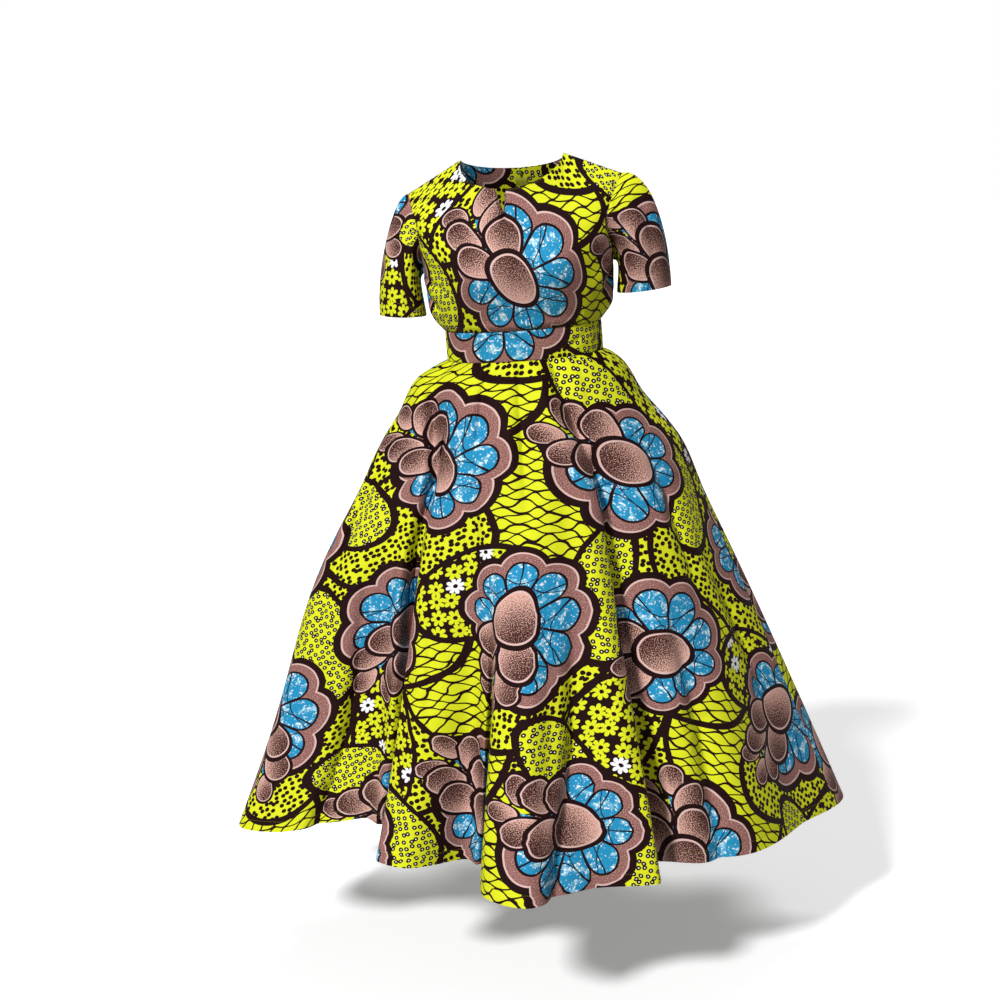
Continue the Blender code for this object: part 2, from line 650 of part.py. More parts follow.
front_columns = np.linspace(-1, 1, FRONT_STEPS + 1)
slit_x = SLIT_MIDDLE + np.array([-SLIT_HALF_WIDTH, 0.0, SLIT_HALF_WIDTH])
slit_columns = NECK_SHARE * np.arcsin(slit_x / NECK_HALF_WIDTH) * 2 / math.pi
front_columns = np.concatenate([front_columns[np.abs(front_columns - slit_columns[1]) > 0.09], slit_columns])
front_columns = np.sort(front_columns)
bodice_panel("bodice_front", True, front_columns, PRINT)
bodice_left = bodice_panel("bodice_back_left", False, np.linspace(0, 1, BACK_STEPS + 1), PRINT)
bodice_right = bodice_panel("bodice_back_right", False, np.linspace(-1, 0, BACK_STEPS + 1), PRINT)
waistband_panel("waistband_front", -90, 90, 24, PRINT)
waistband_left = waistband_panel("waistband_back_left", 90, 180, 12, PRINT)
waistband_right = waistband_panel("waistband_back_right", 180, 270, 12, PRINT)
skirt_panel("skirt_front", -90, 90, SKIRT_FRONT_STEPS, PRINT)
skirt_left = skirt_panel("skirt_back_left", 90, 180, SKIRT_BACK_STEPS, PRINT)
skirt_right = skirt_panel("skirt_back_right", 180, 270, SKIRT_BACK_STEPS, PRINT)
for sleeve in SLEEVES:
    sleeve_tube(sleeve, PRINT)
pocket_bag("pocket_left", 1, PRINT)
pocket_bag("pocket_right", -1, PRINT)

bodice_rows = [row for row in reversed(range(len(BODICE_SHARES))) if BODICE_SHARES[row] < ZIP_TOP_SHARE]
band_rows = [2, 1]
skirt_rows = [row for row in range(len(SKIRT_SHARES)) if SKIRT_SHARES[row] <= ZIP_END_SHARE]
zip_tape(
    "zip_tape",
    [(*bodice_left, 0, 1, bodice_rows), (*waistband_left, -1, -2, band_rows), (*skirt_left, -1, -2, skirt_rows)],
    [(*bodice_right, -1, -2, bodice_rows), (*waistband_right, 0, 1, band_rows), (*skirt_right, 0, 1, skirt_rows)],
    TAPE,
)
ZIP_FRAME = zip_frame()
zip_slider("zip_slider", ZIP_FRAME, METAL)
pull_tab("zip_pull_tab", ZIP_FRAME, METAL)
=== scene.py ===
import math
from collections import namedtuple

import bpy
import numpy as np
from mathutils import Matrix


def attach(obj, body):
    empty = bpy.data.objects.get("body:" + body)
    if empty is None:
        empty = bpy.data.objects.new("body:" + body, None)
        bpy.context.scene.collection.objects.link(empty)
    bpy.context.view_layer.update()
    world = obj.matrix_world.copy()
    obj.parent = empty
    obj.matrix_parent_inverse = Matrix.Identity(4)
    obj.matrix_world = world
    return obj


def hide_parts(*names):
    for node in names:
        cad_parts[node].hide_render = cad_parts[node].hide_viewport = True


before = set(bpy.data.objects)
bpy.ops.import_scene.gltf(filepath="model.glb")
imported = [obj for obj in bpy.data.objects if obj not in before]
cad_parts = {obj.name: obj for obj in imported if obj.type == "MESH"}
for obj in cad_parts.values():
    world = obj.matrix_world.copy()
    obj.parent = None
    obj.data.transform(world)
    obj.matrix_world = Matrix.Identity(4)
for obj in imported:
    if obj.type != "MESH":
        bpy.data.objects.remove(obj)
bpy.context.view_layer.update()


# The studio.
# A pale floor below the hem, a soft light from the upper left, a weak one from the right, one from behind
# and a white room. The camera looks slightly down, as one held at eye height does.
FLOOR_HEIGHT = -1.44
FLOOR_SIZE = 60.0
FLOOR_WHITE = (0.93, 0.93, 0.93, 1)
FLOOR_ROUGHNESS = 0.9
FLOOR_GLOW = 0.25
CAMERA_PLACE = (-0.018, -4.0, 0.10)
CAMERA_PITCH = math.radians(90 - 10.2)
CAMERA_LENS = 80.14

bpy.ops.object.select_all(action="DESELECT")
bpy.ops.mesh.primitive_plane_add(size=FLOOR_SIZE, location=(0, 0, FLOOR_HEIGHT))
floor = bpy.context.object
floor.name = "floor"
floor_paint = bpy.data.materials.new("pale_floor")
floor_paint.use_nodes = True
for name, value in (
    ("Base Color", FLOOR_WHITE),
    ("Roughness", FLOOR_ROUGHNESS),
    ("Emission Color", (1, 1, 1, 1)),
    ("Emission Strength", FLOOR_GLOW),
):
    floor_paint.node_tree.nodes["Principled BSDF"].inputs[name].default_value = value
floor.data.materials.append(floor_paint)
floor.visible_diffuse = False

Light = namedtuple("Light", "name sideways elevation strength softness")
LIGHTS = [
    Light("key_light", -30, 36, 3.7, 8),
    Light("fill_light", 42, 12, 0.36, 30),
    Light("rear_light", 172, 62, 1.5, 30),
]
for light in LIGHTS:
    lamp = bpy.data.lights.new(light.name, "SUN")
    lamp.energy = light.strength
    lamp.angle = math.radians(light.softness)
    holder = bpy.data.objects.new(light.name, lamp)
    holder.rotation_euler = (math.radians(90 - light.elevation), 0, math.radians(light.sideways))
    bpy.context.scene.collection.objects.link(holder)

ROOM_LIGHT = 0.13
room = bpy.data.worlds.new("white_room")
room.use_nodes = True
seen_directly = room.node_tree.nodes.new("ShaderNodeLightPath")
room_strength = room.node_tree.nodes.new("ShaderNodeMix")
room_strength.inputs[2].default_value = ROOM_LIGHT
room_strength.inputs[3].default_value = 1.0
room.node_tree.links.new(seen_directly.outputs["Is Camera Ray"], room_strength.inputs[0])
room.node_tree.links.new(room_strength.outputs[0], room.node_tree.nodes["Background"].inputs["Strength"])
room.node_tree.nodes["Background"].inputs["Color"].default_value = (1.0, 1.0, 1.0, 1)
bpy.context.scene.world = room
bpy.context.scene.view_settings.view_transform = "Standard"

camera_body = bpy.data.cameras.new("camera")
camera_body.sensor_width = 36
camera_body.lens = CAMERA_LENS
camera = bpy.data.objects.new("camera", camera_body)
camera.location = CAMERA_PLACE
camera.rotation_euler = (CAMERA_PITCH, 0, 0)
bpy.context.scene.collection.objects.link(camera)
bpy.context.scene.camera = camera


# The printed cotton.
# Plain woven cotton with a wax print: an acid green ground, fillings of net, blossoms, dots and rings
# parted by thick dark vines, and scalloped flowers with a cluster of drops. The pattern follows each
# piece's own cut.
ACID_GREEN = (0.68, 0.72, 0.016)
DEEP_MAROON = (0.010, 0.0008, 0.0010)
PALE_PINK = (0.66, 0.44, 0.40)
WHITE_PRINT = (0.86, 0.86, 0.88)
SKY_BLUE = (0.016, 0.26, 0.48)
PALE_BLUE = (0.26, 0.58, 0.74)
MAUVE = (0.33, 0.155, 0.135)
DARK_MAUVE = (0.115, 0.036, 0.030)
DROP_LIGHT = (0.68, 0.39, 0.32)
DROP_DARK = (0.040, 0.010, 0.008)

printed_cotton = bpy.data.materials.new("printed_cotton")
printed_cotton.use_nodes = True
PRINT = printed_cotton.node_tree


class Field:
    """A number that changes over the cloth. Sums with fields become Math nodes of the print."""

    def __init__(self, socket):
        self.socket = socket

    def __add__(self, other):
        return worked_out("ADD", self, other)

    def __sub__(self, other):
        return worked_out("SUBTRACT", self, other)

    def __mul__(self, other):
        return worked_out("MULTIPLY", self, other)

    def __truediv__(self, other):
        return worked_out("DIVIDE", self, other)

    def __lt__(self, other):
        return worked_out("LESS_THAN", self, other)

    def __gt__(self, other):
        return worked_out("GREATER_THAN", self, other)


def set_or_link(socket, value):
    """Puts a number, a tuple, a field or another node's socket into a socket."""
    if isinstance(value, Field):
        value = value.socket
    if isinstance(value, bpy.types.NodeSocket):
        socket.id_data.links.new(value, socket)
    elif socket.type == "RGBA":
        socket.default_value = (*value, 1.0)
    else:
        socket.default_value = value


def made(kind, inputs, tree=PRINT, **settings):
    """The outputs of one new node, with its settings and its inputs by name or number."""
    node = tree.nodes.new("ShaderNode" + kind)
    for name, value in settings.items():
        setattr(node, name, value)
    for socket, value in inputs.items():
        set_or_link(node.inputs[socket], value)
    return node.outputs


def finish(tree, inputs):
    """Sets or links the inputs of a material's own shader."""
    for name, value in inputs.items():
        set_or_link(tree.nodes["Principled BSDF"].inputs[name], value)


def worked_out(operation, *values):
    """One Math node."""
    return Field(made("Math", dict(enumerate(values)), operation=operation)["Value"])


def moved(operation, *values):
    """One Vector Math node, for a place on the cloth."""
    return made("VectorMath", dict(enumerate(values)), operation=operation)["Vector"]


def length_of(place):
    """How far a place is from its own middle."""
    return Field(made("VectorMath", {0: place}, operation="LENGTH")["Value"])


def parts_of(place):
    """The two coordinates of a place on the cloth."""
    parts = made("SeparateXYZ", {0: place})
    return Field(parts["X"]), Field(parts["Y"])


def place_from(x, y):
    """A place on the cloth from its two coordinates."""
    return made("CombineXYZ", {"X": x, "Y": y})["Vector"]


def seen_from(place, middle, turn, size):
    """A place measured from a motif's middle, along its own turned axes, in its own sizes."""
    inputs = {"Vector": place, "Location": (*middle, 0), "Rotation": (0, 0, turn), "Scale": (*size, 1)}
    return made("Mapping", inputs, vector_type="TEXTURE")["Vector"]


def blended(share, first, second):
    """The first number where share is 0 and the second where it is 1."""
    return Field(made("Mix", {0: share, 2: first, 3: second}, data_type="FLOAT")[0])


def painted(under, colour, where, tree=PRINT):
    """A colour laid over another where the field is 1."""
    return made("Mix", {0: where, 6: under, 7: colour}, tree, data_type="RGBA")[2]


def mottle(place, grain, detail=0.0):
    """Soft random spots about one grain apart, from 0 to 1."""
    return made("TexNoise", {"Vector": place, "Scale": 1 / grain, "Detail": detail}, noise_dimensions="2D")


def scattered(place, pitch, looseness):
    """Spots scattered about one pitch apart."""
    inputs = {"Vector": place, "Scale": 1 / pitch, "Randomness": looseness}
    return made("TexVoronoi", inputs, voronoi_dimensions="2D")


cloth = made("UVMap", {}, uv_map="cut")["UV"]

# The hand-drawn wander of all the lines
WANDER = 0.010
wander = moved("SUBTRACT", mottle(cloth, 0.090)["Color"], (0.5, 0.5, 0.5))
drawn = moved("ADD", cloth, moved("MULTIPLY", wander, (WANDER, WANDER, 0)))

# Vines: each leaf shape covers those before it, so their edges meet as vines do
REPEAT = 0.64
NET, BLOSSOMS, DOTS, RINGS = 0, 1, 2, 3
VINE = 0.0056
Leaf = namedtuple("Leaf", "x y turn half_length half_width filling")
LEAVES = [
    Leaf(0.08, 0.10, 0.5, 0.200, 0.150, NET),
    Leaf(0.42, 0.03, -0.4, 0.190, 0.130, DOTS),
    Leaf(0.25, 0.30, 1.2, 0.190, 0.125, BLOSSOMS),
    Leaf(0.53, 0.34, -0.9, 0.180, 0.115, NET),
    Leaf(0.04, 0.42, 0.9, 0.165, 0.110, DOTS),
    Leaf(0.37, 0.50, -0.2, 0.175, 0.110, NET),
    Leaf(0.16, 0.56, 1.4, 0.130, 0.080, RINGS),
    Leaf(0.57, 0.54, 0.3, 0.120, 0.080, BLOSSOMS),
    Leaf(0.30, 0.14, -1.0, 0.110, 0.062, RINGS),
    Leaf(0.47, 0.20, 0.6, 0.095, 0.058, BLOSSOMS),
    Leaf(0.12, 0.27, -0.6, 0.100, 0.050, RINGS),
]
cell = REPEAT / 2
filling = float(DOTS)
to_vine = 1.0
for leaf in LEAVES:
    around = moved("WRAP", moved("SUBTRACT", drawn, (leaf.x, leaf.y, 0)), (cell, cell, 0), (-cell, -cell, 0))
    own = length_of(seen_from(around, (0, 0), leaf.turn, (leaf.half_length, leaf.half_width)))
    past = (own - 1) * math.sqrt(leaf.half_length * leaf.half_width)
    inside = past < VINE
    to_vine = blended(inside, to_vine, worked_out("ABSOLUTE", past))
    filling = blended(inside, filling, float(leaf.filling))
vine = to_vine < VINE

# Net: wavy lines that sway against each other, so that they part and nearly meet by turns
NET_CELL = (0.047, 0.0102)
NET_SWAY = 0.43
NET_LINE = 0.17
net_wander = moved("SUBTRACT", mottle(cloth, 0.035)["Color"], (0.5, 0.5, 0.5))
net_x, net_y = parts_of(moved("ADD", cloth, moved("MULTIPLY", net_wander, (0.020, 0.013, 0))))
net_row = net_y / NET_CELL[1]
row_number = worked_out("FLOOR", net_row)
opposite = worked_out("FLOORED_MODULO", row_number, 2.0) * 2 - 1
sway = worked_out("COSINE", net_x * (2 * math.pi / NET_CELL[0])) * opposite * NET_SWAY
up_row = net_row - row_number
lower_line = worked_out("ABSOLUTE", up_row - sway)
upper_line = worked_out("ABSOLUTE", up_row + sway - 1)
net = worked_out("MINIMUM", lower_line, upper_line) < NET_LINE

# Blossoms: small round flowers with dark hearts that nearly touch, and here and there a white one on black
BLOSSOM_PITCH = 0.0290
BLOSSOM_LOOSENESS = 0.28
WHITE_FROM = 0.86
HEART = 0.13
blossoms = scattered(cloth, BLOSSOM_PITCH, BLOSSOM_LOOSENESS)
blossom_x, blossom_y = parts_of(moved("SUBTRACT", cloth, blossoms["Position"]))
chance, other_chance = parts_of(blossoms["Color"])
is_white = chance > WHITE_FROM
half_turns = worked_out("ARCTAN2", blossom_y, blossom_x) * blended(is_white, 3.5, 4.0) + other_chance * 6
petal_wave = worked_out("POWER", worked_out("ABSOLUTE", worked_out("COSINE", half_turns)), 0.5)
from_heart = Field(blossoms["Distance"])
in_petal = (from_heart < petal_wave * 0.36 + blended(is_white, 0.16, 0.17)) * (from_heart > HEART)

# Dots and rings, their sizes in pitches
DOT_PITCH = 0.0115
DOT_LOOSENESS = 0.60
DOT_RADIUS = 0.36
RING_PITCH = 0.0110
RING_LOOSENESS = 0.50
RING_HEART = 0.10
RING_RADIUS = 0.235
RING_HALF_LINE = 0.125
dot_dark = Field(scattered(cloth, DOT_PITCH, DOT_LOOSENESS)["Distance"]) < DOT_RADIUS
from_ring = Field(scattered(cloth, RING_PITCH, RING_LOOSENESS)["Distance"])
ring_white = from_ring < RING_HEART
ring_dark = worked_out("COMPARE", from_ring, RING_RADIUS, RING_HALF_LINE)

in_net, in_blossoms, in_dots, in_rings = (
    worked_out("COMPARE", filling, float(kind), 0.1) for kind in (NET, BLOSSOMS, DOTS, RINGS)
)
blossom_dark = worked_out("SUBTRACT", 1.0, in_petal)
dark = in_net * net + in_blossoms * blossom_dark + in_dots * dot_dark + in_rings * ring_dark
colour = painted(ACID_GREEN, WHITE_PRINT, in_blossoms * in_petal * is_white + in_rings * ring_white)
colour = painted(colour, DEEP_MAROON, worked_out("MAXIMUM", dark, vine))

# Scalloped flowers, one in each half repeat, turned four ways. Their lobes lie on a spiral, so they grow
# from one side of the cluster of drops round to the other.
FIRST_TURN = 0.26
COLUMN_TURN = 0.79
ROW_TURN = 4.8
cell_x, cell_y = parts_of(drawn)
row = worked_out("FLOOR", cell_y / cell)
odd_row = worked_out("FLOORED_MODULO", row, 2.0)
across_row = cell_x / cell + odd_row * 0.5
column = worked_out("FLOOR", across_row)
odd_column = worked_out("FLOORED_MODULO", column, 2.0)
motif_place = place_from((across_row - column - 0.5) * cell, (cell_y / cell - row - 0.5) * cell)
flower_lie = odd_column * COLUMN_TURN + odd_row * ROW_TURN + FIRST_TURN
turned = made("VectorRotate", {"Vector": motif_place, "Angle": flower_lie}, rotation_type="Z_AXIS")["Vector"]
mirror = place_from(1.0, worked_out("SUBTRACT", 1.0, odd_column * 2))
motif = moved("MULTIPLY", turned, mirror)

FLOWER_MIDDLE = (0.020, 0.0)
LOBES = 9
LOBE_RING = 0.0725
SPIRAL = 0.075
BLUE_EDGE = 0.450
PETAL_EDGE = 0.505
BORDER_EDGE = 0.72
FLOWER_EDGE = 0.85
PALE_LINE = 0.035
flower = moved("SUBTRACT", motif, (*FLOWER_MIDDLE, 0))
flower_x, flower_y = parts_of(flower)
flower_turn = worked_out("ARCTAN2", flower_y, flower_x)
lobe_step = LOBES / (2 * math.pi)
lobe_number = worked_out("FLOOR", flower_turn * lobe_step)
lobe_x = flower_turn * lobe_step - lobe_number - 0.5
spiral_ring = worked_out("EXPONENT", flower_turn * -SPIRAL) * LOBE_RING
lobe_y = worked_out("LOGARITHM", length_of(flower) / spiral_ring, math.e) * lobe_step
outer_y = worked_out("MAXIMUM", lobe_y, 0.0)
inner_y = worked_out("MINIMUM", lobe_y, 0.0)
from_lobe = length_of(place_from(lobe_x, outer_y))
from_petal = length_of(place_from(lobe_x, outer_y + inner_y * 0.12))

SPECKLE_GRAIN = 0.0018
BLEACH_GRAIN = 0.016
FLECK_GRAIN = 0.0042
speckle = Field(mottle(cloth, SPECKLE_GRAIN, 1.0)["Fac"])
bleach = Field(mottle(cloth, BLEACH_GRAIN, 1.0)["Fac"])
flecks = Field(mottle(cloth, FLECK_GRAIN, 1.0)["Fac"])
border = painted(DARK_MAUVE, MAUVE, speckle * 2.4 - 0.45)
border = painted(border, PALE_PINK, speckle > 0.70)
lean = worked_out("SINE", lobe_number * 2.4) * 0.5
middle_vein = worked_out("COMPARE", lobe_x, lean * (lobe_y + 0.30), 0.022)
cross_vein = worked_out("COMPARE", lobe_y + 0.22, lean * lobe_x * 2.2 + lobe_x * lobe_x * 1.4, 0.026)
low_vein = worked_out("COMPARE", lobe_y + 0.75, lobe_x * lobe_x * -1.8 - lean * lobe_x, 0.028)
blue = painted(SKY_BLUE, PALE_BLUE, (bleach - 0.54) * 5)
blue = painted(blue, WHITE_PRINT, (flecks + bleach * 0.5 - 0.89) * 12)
veins = worked_out("MAXIMUM", middle_vein, worked_out("MAXIMUM", cross_vein, low_vein))
blue = painted(blue, DEEP_MAROON, veins)
colour = painted(colour, DEEP_MAROON, from_lobe < FLOWER_EDGE)
colour = painted(colour, PALE_PINK, from_lobe < BORDER_EDGE)
colour = painted(colour, border, from_lobe < BORDER_EDGE - PALE_LINE)
colour = painted(colour, DEEP_MAROON, from_petal < PETAL_EDGE)
colour = painted(colour, blue, from_petal < BLUE_EDGE)

# The cluster of drops, each in its own sizes and turned its own way, the last one on top
Drop = namedtuple("Drop", "x y turn half_width half_length")
DROPS = [
    Drop(-0.136, 0.034, 0.7, 0.017, 0.027),
    Drop(-0.148, -0.010, 1.7, 0.018, 0.028),
    Drop(-0.106, -0.030, 2.2, 0.024, 0.034),
    Drop(-0.098, 0.032, 1.0, 0.026, 0.035),
    Drop(-0.052, 0.038, 1.1, 0.028, 0.036),
    Drop(-0.056, -0.026, 2.0, 0.031, 0.039),
    Drop(0.004, 0.002, 1.7, 0.038, 0.046),
]
DROP_OUTLINE = 0.20
RIM = 0.92
RIM_SHADE = 0.40
SIDE_SHADE = 0.85
SPECKLE_SHADE = 4.4
DROP_TONE = -2.05
in_drop = 9.0
lit_side = 0.0
for drop in DROPS:
    own = seen_from(flower, (drop.x, drop.y), drop.turn, (drop.half_width, drop.half_length))
    own_x, own_y = parts_of(own)
    reach = length_of(place_from(own_x / (own_y * 0.15 + 0.94), own_y))
    covers = reach < 1 + DROP_OUTLINE
    in_drop = blended(covers, in_drop, reach)
    lit_side = blended(covers, lit_side, own_x * 0.6 - own_y)
drop_shade = in_drop * RIM_SHADE + lit_side * SIDE_SHADE + speckle * SPECKLE_SHADE + DROP_TONE
colour = painted(colour, DEEP_MAROON, in_drop < 1 + DROP_OUTLINE)
colour = painted(colour, PALE_PINK, in_drop < 1.0)
colour = painted(colour, painted(DROP_DARK, DROP_LIGHT, drop_shade), in_drop < RIM)

WEAVE_PITCH = 0.0006
WEAVE_STRENGTH = 0.25
WEAVE_DEPTH = 0.0001
weave_x, weave_y = parts_of(cloth)
warp = worked_out("SINE", weave_x * (2 * math.pi / WEAVE_PITCH))
weft = worked_out("SINE", weave_y * (2 * math.pi / WEAVE_PITCH))
weave_inputs = {"Height": warp * weft, "Strength": WEAVE_STRENGTH, "Distance": WEAVE_DEPTH}
weave = made("Bump", weave_inputs)["Normal"]
finish(PRINT, {"Base Color": colour, "Normal": weave, "Roughness": 0.78, "Specular IOR Level": 0.12})


# The bodice's front.
# One panel with a round neck, a slit at its centre and bust darts. It is lofted through sections from
# the waist up, upright at first, and then turned with the shoulders.
CLOTH = 0.0005
HEM_CLOTH = 0.0016
NECK_CLOTH = 0.0009
SEAM_GAP = 0.0003
WAIST_TOP = -0.299
ROLL = math.radians(4.5)
SHOULDER_YAW = math.radians(-14.0)
NECK_HALF_WIDTH = 0.095
NECK_SIDE_DEPTH = 0.010
FRONT_NECK_DROP = 0.053
FRONT_NECK_DEPTH = -0.062
BACK_NECK_DROP = 0.022
BACK_NECK_DEPTH = 0.066
NECK_SHARE = 0.46
SLIT_DEPTH = 0.039
SLIT_HALF_WIDTH = 0.010
SLIT_MIDDLE = -0.008
SHOULDER_TIP = (0.195, 0.012, -0.042)
RIGHT_SHOULDER_DROP = 0.011
ARMPIT_SHARE = 0.42
BUST_SPREAD = 0.078
BUST_HEIGHT = -0.192
BUST_FULLNESS = 0.020
BUST_SIZE = 0.052

# A section runs from its edge, at a side seam or an armhole, to the middle of the panel.
Section = namedtuple("Section", "share edge_x edge_y edge_z middle_y middle_z")
FRONT_SECTIONS = [
    Section(0.00, 0.141, 0.0, WAIST_TOP, -0.112, WAIST_TOP),
    Section(0.08, 0.157, 0.0, -0.279, -0.121, -0.279),
    Section(0.20, 0.166, 0.0, -0.250, -0.130, -0.250),
    Section(0.42, 0.170, 0.0, -0.195, -0.136, -0.198),
    Section(0.70, 0.169, -0.046, -0.122, -0.104, -0.134),
]
BACK_SECTIONS = [
    Section(0.00, 0.141, 0.0, WAIST_TOP, 0.100, WAIST_TOP),
    Section(0.08, 0.157, 0.0, -0.279, 0.102, -0.278),
    Section(0.20, 0.166, 0.0, -0.250, 0.105, -0.248),
    Section(0.42, 0.170, 0.0, -0.195, 0.112, -0.190),
    Section(0.70, 0.177, 0.056, -0.122, 0.108, -0.108),
]

# A crease is a soft trough from start to end, each given as its place across and along the piece. "bend"
# bows it sideways, "depths" are at its start, middle and end. "lean" makes the side towards the start of the
# row steeper, from 0 to 1.
Crease = namedtuple("Crease", "start end bend width depths lean", defaults=(0.0,))


def unit(vectors):
    """The vectors scaled to length 1."""
    return vectors / np.maximum(np.linalg.norm(vectors, axis=-1, keepdims=True), 1e-9)


def through(knots, values, slopes, at):
    """A cubic curve through the values at the knots, with those slopes, read at the places in at."""
    span = np.clip(np.searchsorted(knots, at, side="right") - 1, 0, len(knots) - 2)
    width = knots[span + 1] - knots[span]
    u = (at - knots[span]) / width
    tail = (1,) * (values.ndim - 1)
    u = u.reshape(u.shape + tail)
    width = width.reshape(width.shape + tail)
    start = values[span] * (1 + 2 * u) * (1 - u) ** 2 + slopes[span] * width * u * (1 - u) ** 2
    end = values[span + 1] * u * u * (3 - 2 * u) + slopes[span + 1] * width * u * u * (u - 1)
    return start + end


def pose(points):
    """Turns the shoulders and dips one of them, for points of the upright bodice or waistband."""
    x, y, z = points[..., 0], points[..., 1], points[..., 2]
    rise = np.clip((z - WAIST_TOP) / -WAIST_TOP, 0, 1)
    yaw = SHOULDER_YAW * rise * rise * (3 - 2 * rise)
    turned_x = x * np.cos(yaw) - y * np.sin(yaw)
    turned_y = x * np.sin(yaw) + y * np.cos(yaw)
    posed_x = turned_x * math.cos(ROLL) - z * math.sin(ROLL)
    posed_z = z * math.cos(ROLL) + turned_x * math.sin(ROLL)
    return np.stack([posed_x, turned_y, posed_z], axis=-1)


def step_lengths(points, axis):
    """The distances between neighbouring points."""
    return np.linalg.norm(np.diff(points, axis=axis), axis=-1)


def run_along(points, axis):
    """How far each point lies from the first one of its row or column, along it."""
    steps = step_lengths(points, axis)
    start = np.zeros_like(steps.take([0], axis=axis))
    return np.concatenate([start, np.cumsum(steps, axis=axis)], axis=axis)


def top_edge(front, s):
    """The upper edge of a bodice panel: shoulder seam, neckline and shoulder seam."""
    side = np.sign(s)
    along = np.clip((np.abs(s) - NECK_SHARE) / (1 - NECK_SHARE), 0, 1)
    neck = np.clip(s / NECK_SHARE, -1, 1) * math.pi / 2
    drop = FRONT_NECK_DROP if front else BACK_NECK_DROP
    depth = FRONT_NECK_DEPTH if front else BACK_NECK_DEPTH
    neck_x = NECK_HALF_WIDTH * np.sin(neck)
    neck_y = NECK_SIDE_DEPTH + (depth - NECK_SIDE_DEPTH) * np.cos(neck)
    neck_z = -drop * np.cos(neck)
    if front:
        neck_z = neck_z - SLIT_DEPTH * np.clip(1 - np.abs(neck_x - SLIT_MIDDLE) / SLIT_HALF_WIDTH, 0, 1)
    tip_x, tip_y, tip_z = SHOULDER_TIP
    tip_z = tip_z - RIGHT_SHOULDER_DROP * (side < 0)
    x = neck_x + side * (tip_x - NECK_HALF_WIDTH) * along
    y = neck_y + (tip_y - NECK_SIDE_DEPTH) * along
    z = neck_z + tip_z * along
    return np.stack([x, y, z], axis=-1)


def bodice(front, s, share):
    """Upright bodice points: s from -1 at the dress's right to 1 at its left, share from the waist up."""
    sections = FRONT_SECTIONS if front else BACK_SECTIONS
    turn = s * math.pi / 2
    rows = []
    for section in sections:
        x = section.edge_x * np.sin(turn)
        y = section.edge_y + (section.middle_y - section.edge_y) * np.cos(turn)
        z = section.middle_z + (section.edge_z - section.middle_z) * np.sin(turn) ** 2
        rows.append(np.stack([x, y, z], axis=-1))
    rows = np.stack(rows + [top_edge(front, s)])
    knots = np.array([section.share for section in sections] + [1.0])
    slopes = np.gradient(rows, knots, axis=0)
    edge = (np.sin(turn) ** 2)[:, None]
    armpit = list(knots).index(ARMPIT_SHARE)
    below = (rows[armpit] - rows[armpit - 1]) / (knots[armpit] - knots[armpit - 1])
    slopes[armpit] = slopes[armpit] * (1 - edge) + below * edge
    points = through(knots, rows, slopes, share)
    if front:
        across = (np.abs(points[..., 0]) - BUST_SPREAD) / BUST_SIZE
        up = (points[..., 2] - BUST_HEIGHT) / BUST_SIZE
        points[..., 1] -= BUST_FULLNESS * np.exp(-(across**2) - up**2) * np.cos(turn)
    return points


def outward_of(points, facing):
    """Outward directions of a grid of points. "facing" is 1 or -1, for how its rows and columns run."""
    down = np.gradient(points, axis=0)
    across = np.gradient(points, axis=1)
    return unit(np.cross(down, across)) * facing


SEAM_SINK = 0.0006
SEAM_ROLL = 0.0018
ALL_SEAMS = ("left", "right", "top", "bottom")


def creased(points, across, along, facing, creases, seams, seam_fade=0.012, straight_in=0.0):
    """The points pushed in along the creases and at the seams: "left", "right", "top" and "bottom".

    straight_in is 0 where a crease runs square into the cloth, and 1 where it runs straight to the back.
    """
    push = np.zeros(points.shape[:2])
    t = np.linspace(0, 1, 90)
    columns, rows = np.arange(len(across)), np.arange(len(along))
    for crease in creases:
        line_across = crease.start[0] + (crease.end[0] - crease.start[0]) * t
        line_across += crease.bend * np.sin(math.pi * t)
        line_along = crease.start[1] + (crease.end[1] - crease.start[1]) * t
        at_column = np.rint(np.interp(line_across, across, columns)).astype(int)
        at_row = np.rint(np.interp(line_along, along, rows)).astype(int)
        line = points[at_row, at_column].astype(np.float32)
        reach = np.linalg.norm(points[:, :, None].astype(np.float32) - line, axis=-1)
        nearest = reach.argmin(axis=-1)
        side_of_line = np.sign(across[None, :] - line_across[nearest])
        near = reach.min(axis=-1) / (crease.width * (1 + crease.lean * side_of_line))
        depth = np.interp(t[nearest], (0, 0.5, 1), crease.depths)
        # A broad trough with a sharper line down its middle and a low ridge beside it
        broad, narrow, beside = np.exp(-(near**2)), np.exp(-((near * 2.4) ** 2)), np.exp(-((near - 2) ** 2))
        push += depth * (0.6 * broad + 0.4 * narrow - 0.2 * beside)
    edges = {"left": points[:, :1], "right": points[:, -1:], "top": points[:1], "bottom": points[-1:]}
    from_seams = [np.linalg.norm(points - edges[seam], axis=-1) for seam in seams]
    for away in from_seams:
        push *= np.clip(away / seam_fade, 0, 1)
    outward = outward_of(points, facing)
    way = unit(outward * (1 - straight_in) + np.array([0.0, -1.0, 0.0]) * straight_in)
    moved_in = points - push[..., None] * way
    sink = sum(SEAM_SINK * np.exp(-((away / SEAM_ROLL) ** 2)) for away in from_seams)
    return moved_in - sink[..., None] * outward


def added(name, mesh):
    """A mesh as a piece of the dress."""
    piece = bpy.data.objects.new(name, mesh)
    bpy.context.scene.collection.objects.link(piece)
    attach(piece, "dress")
    return piece


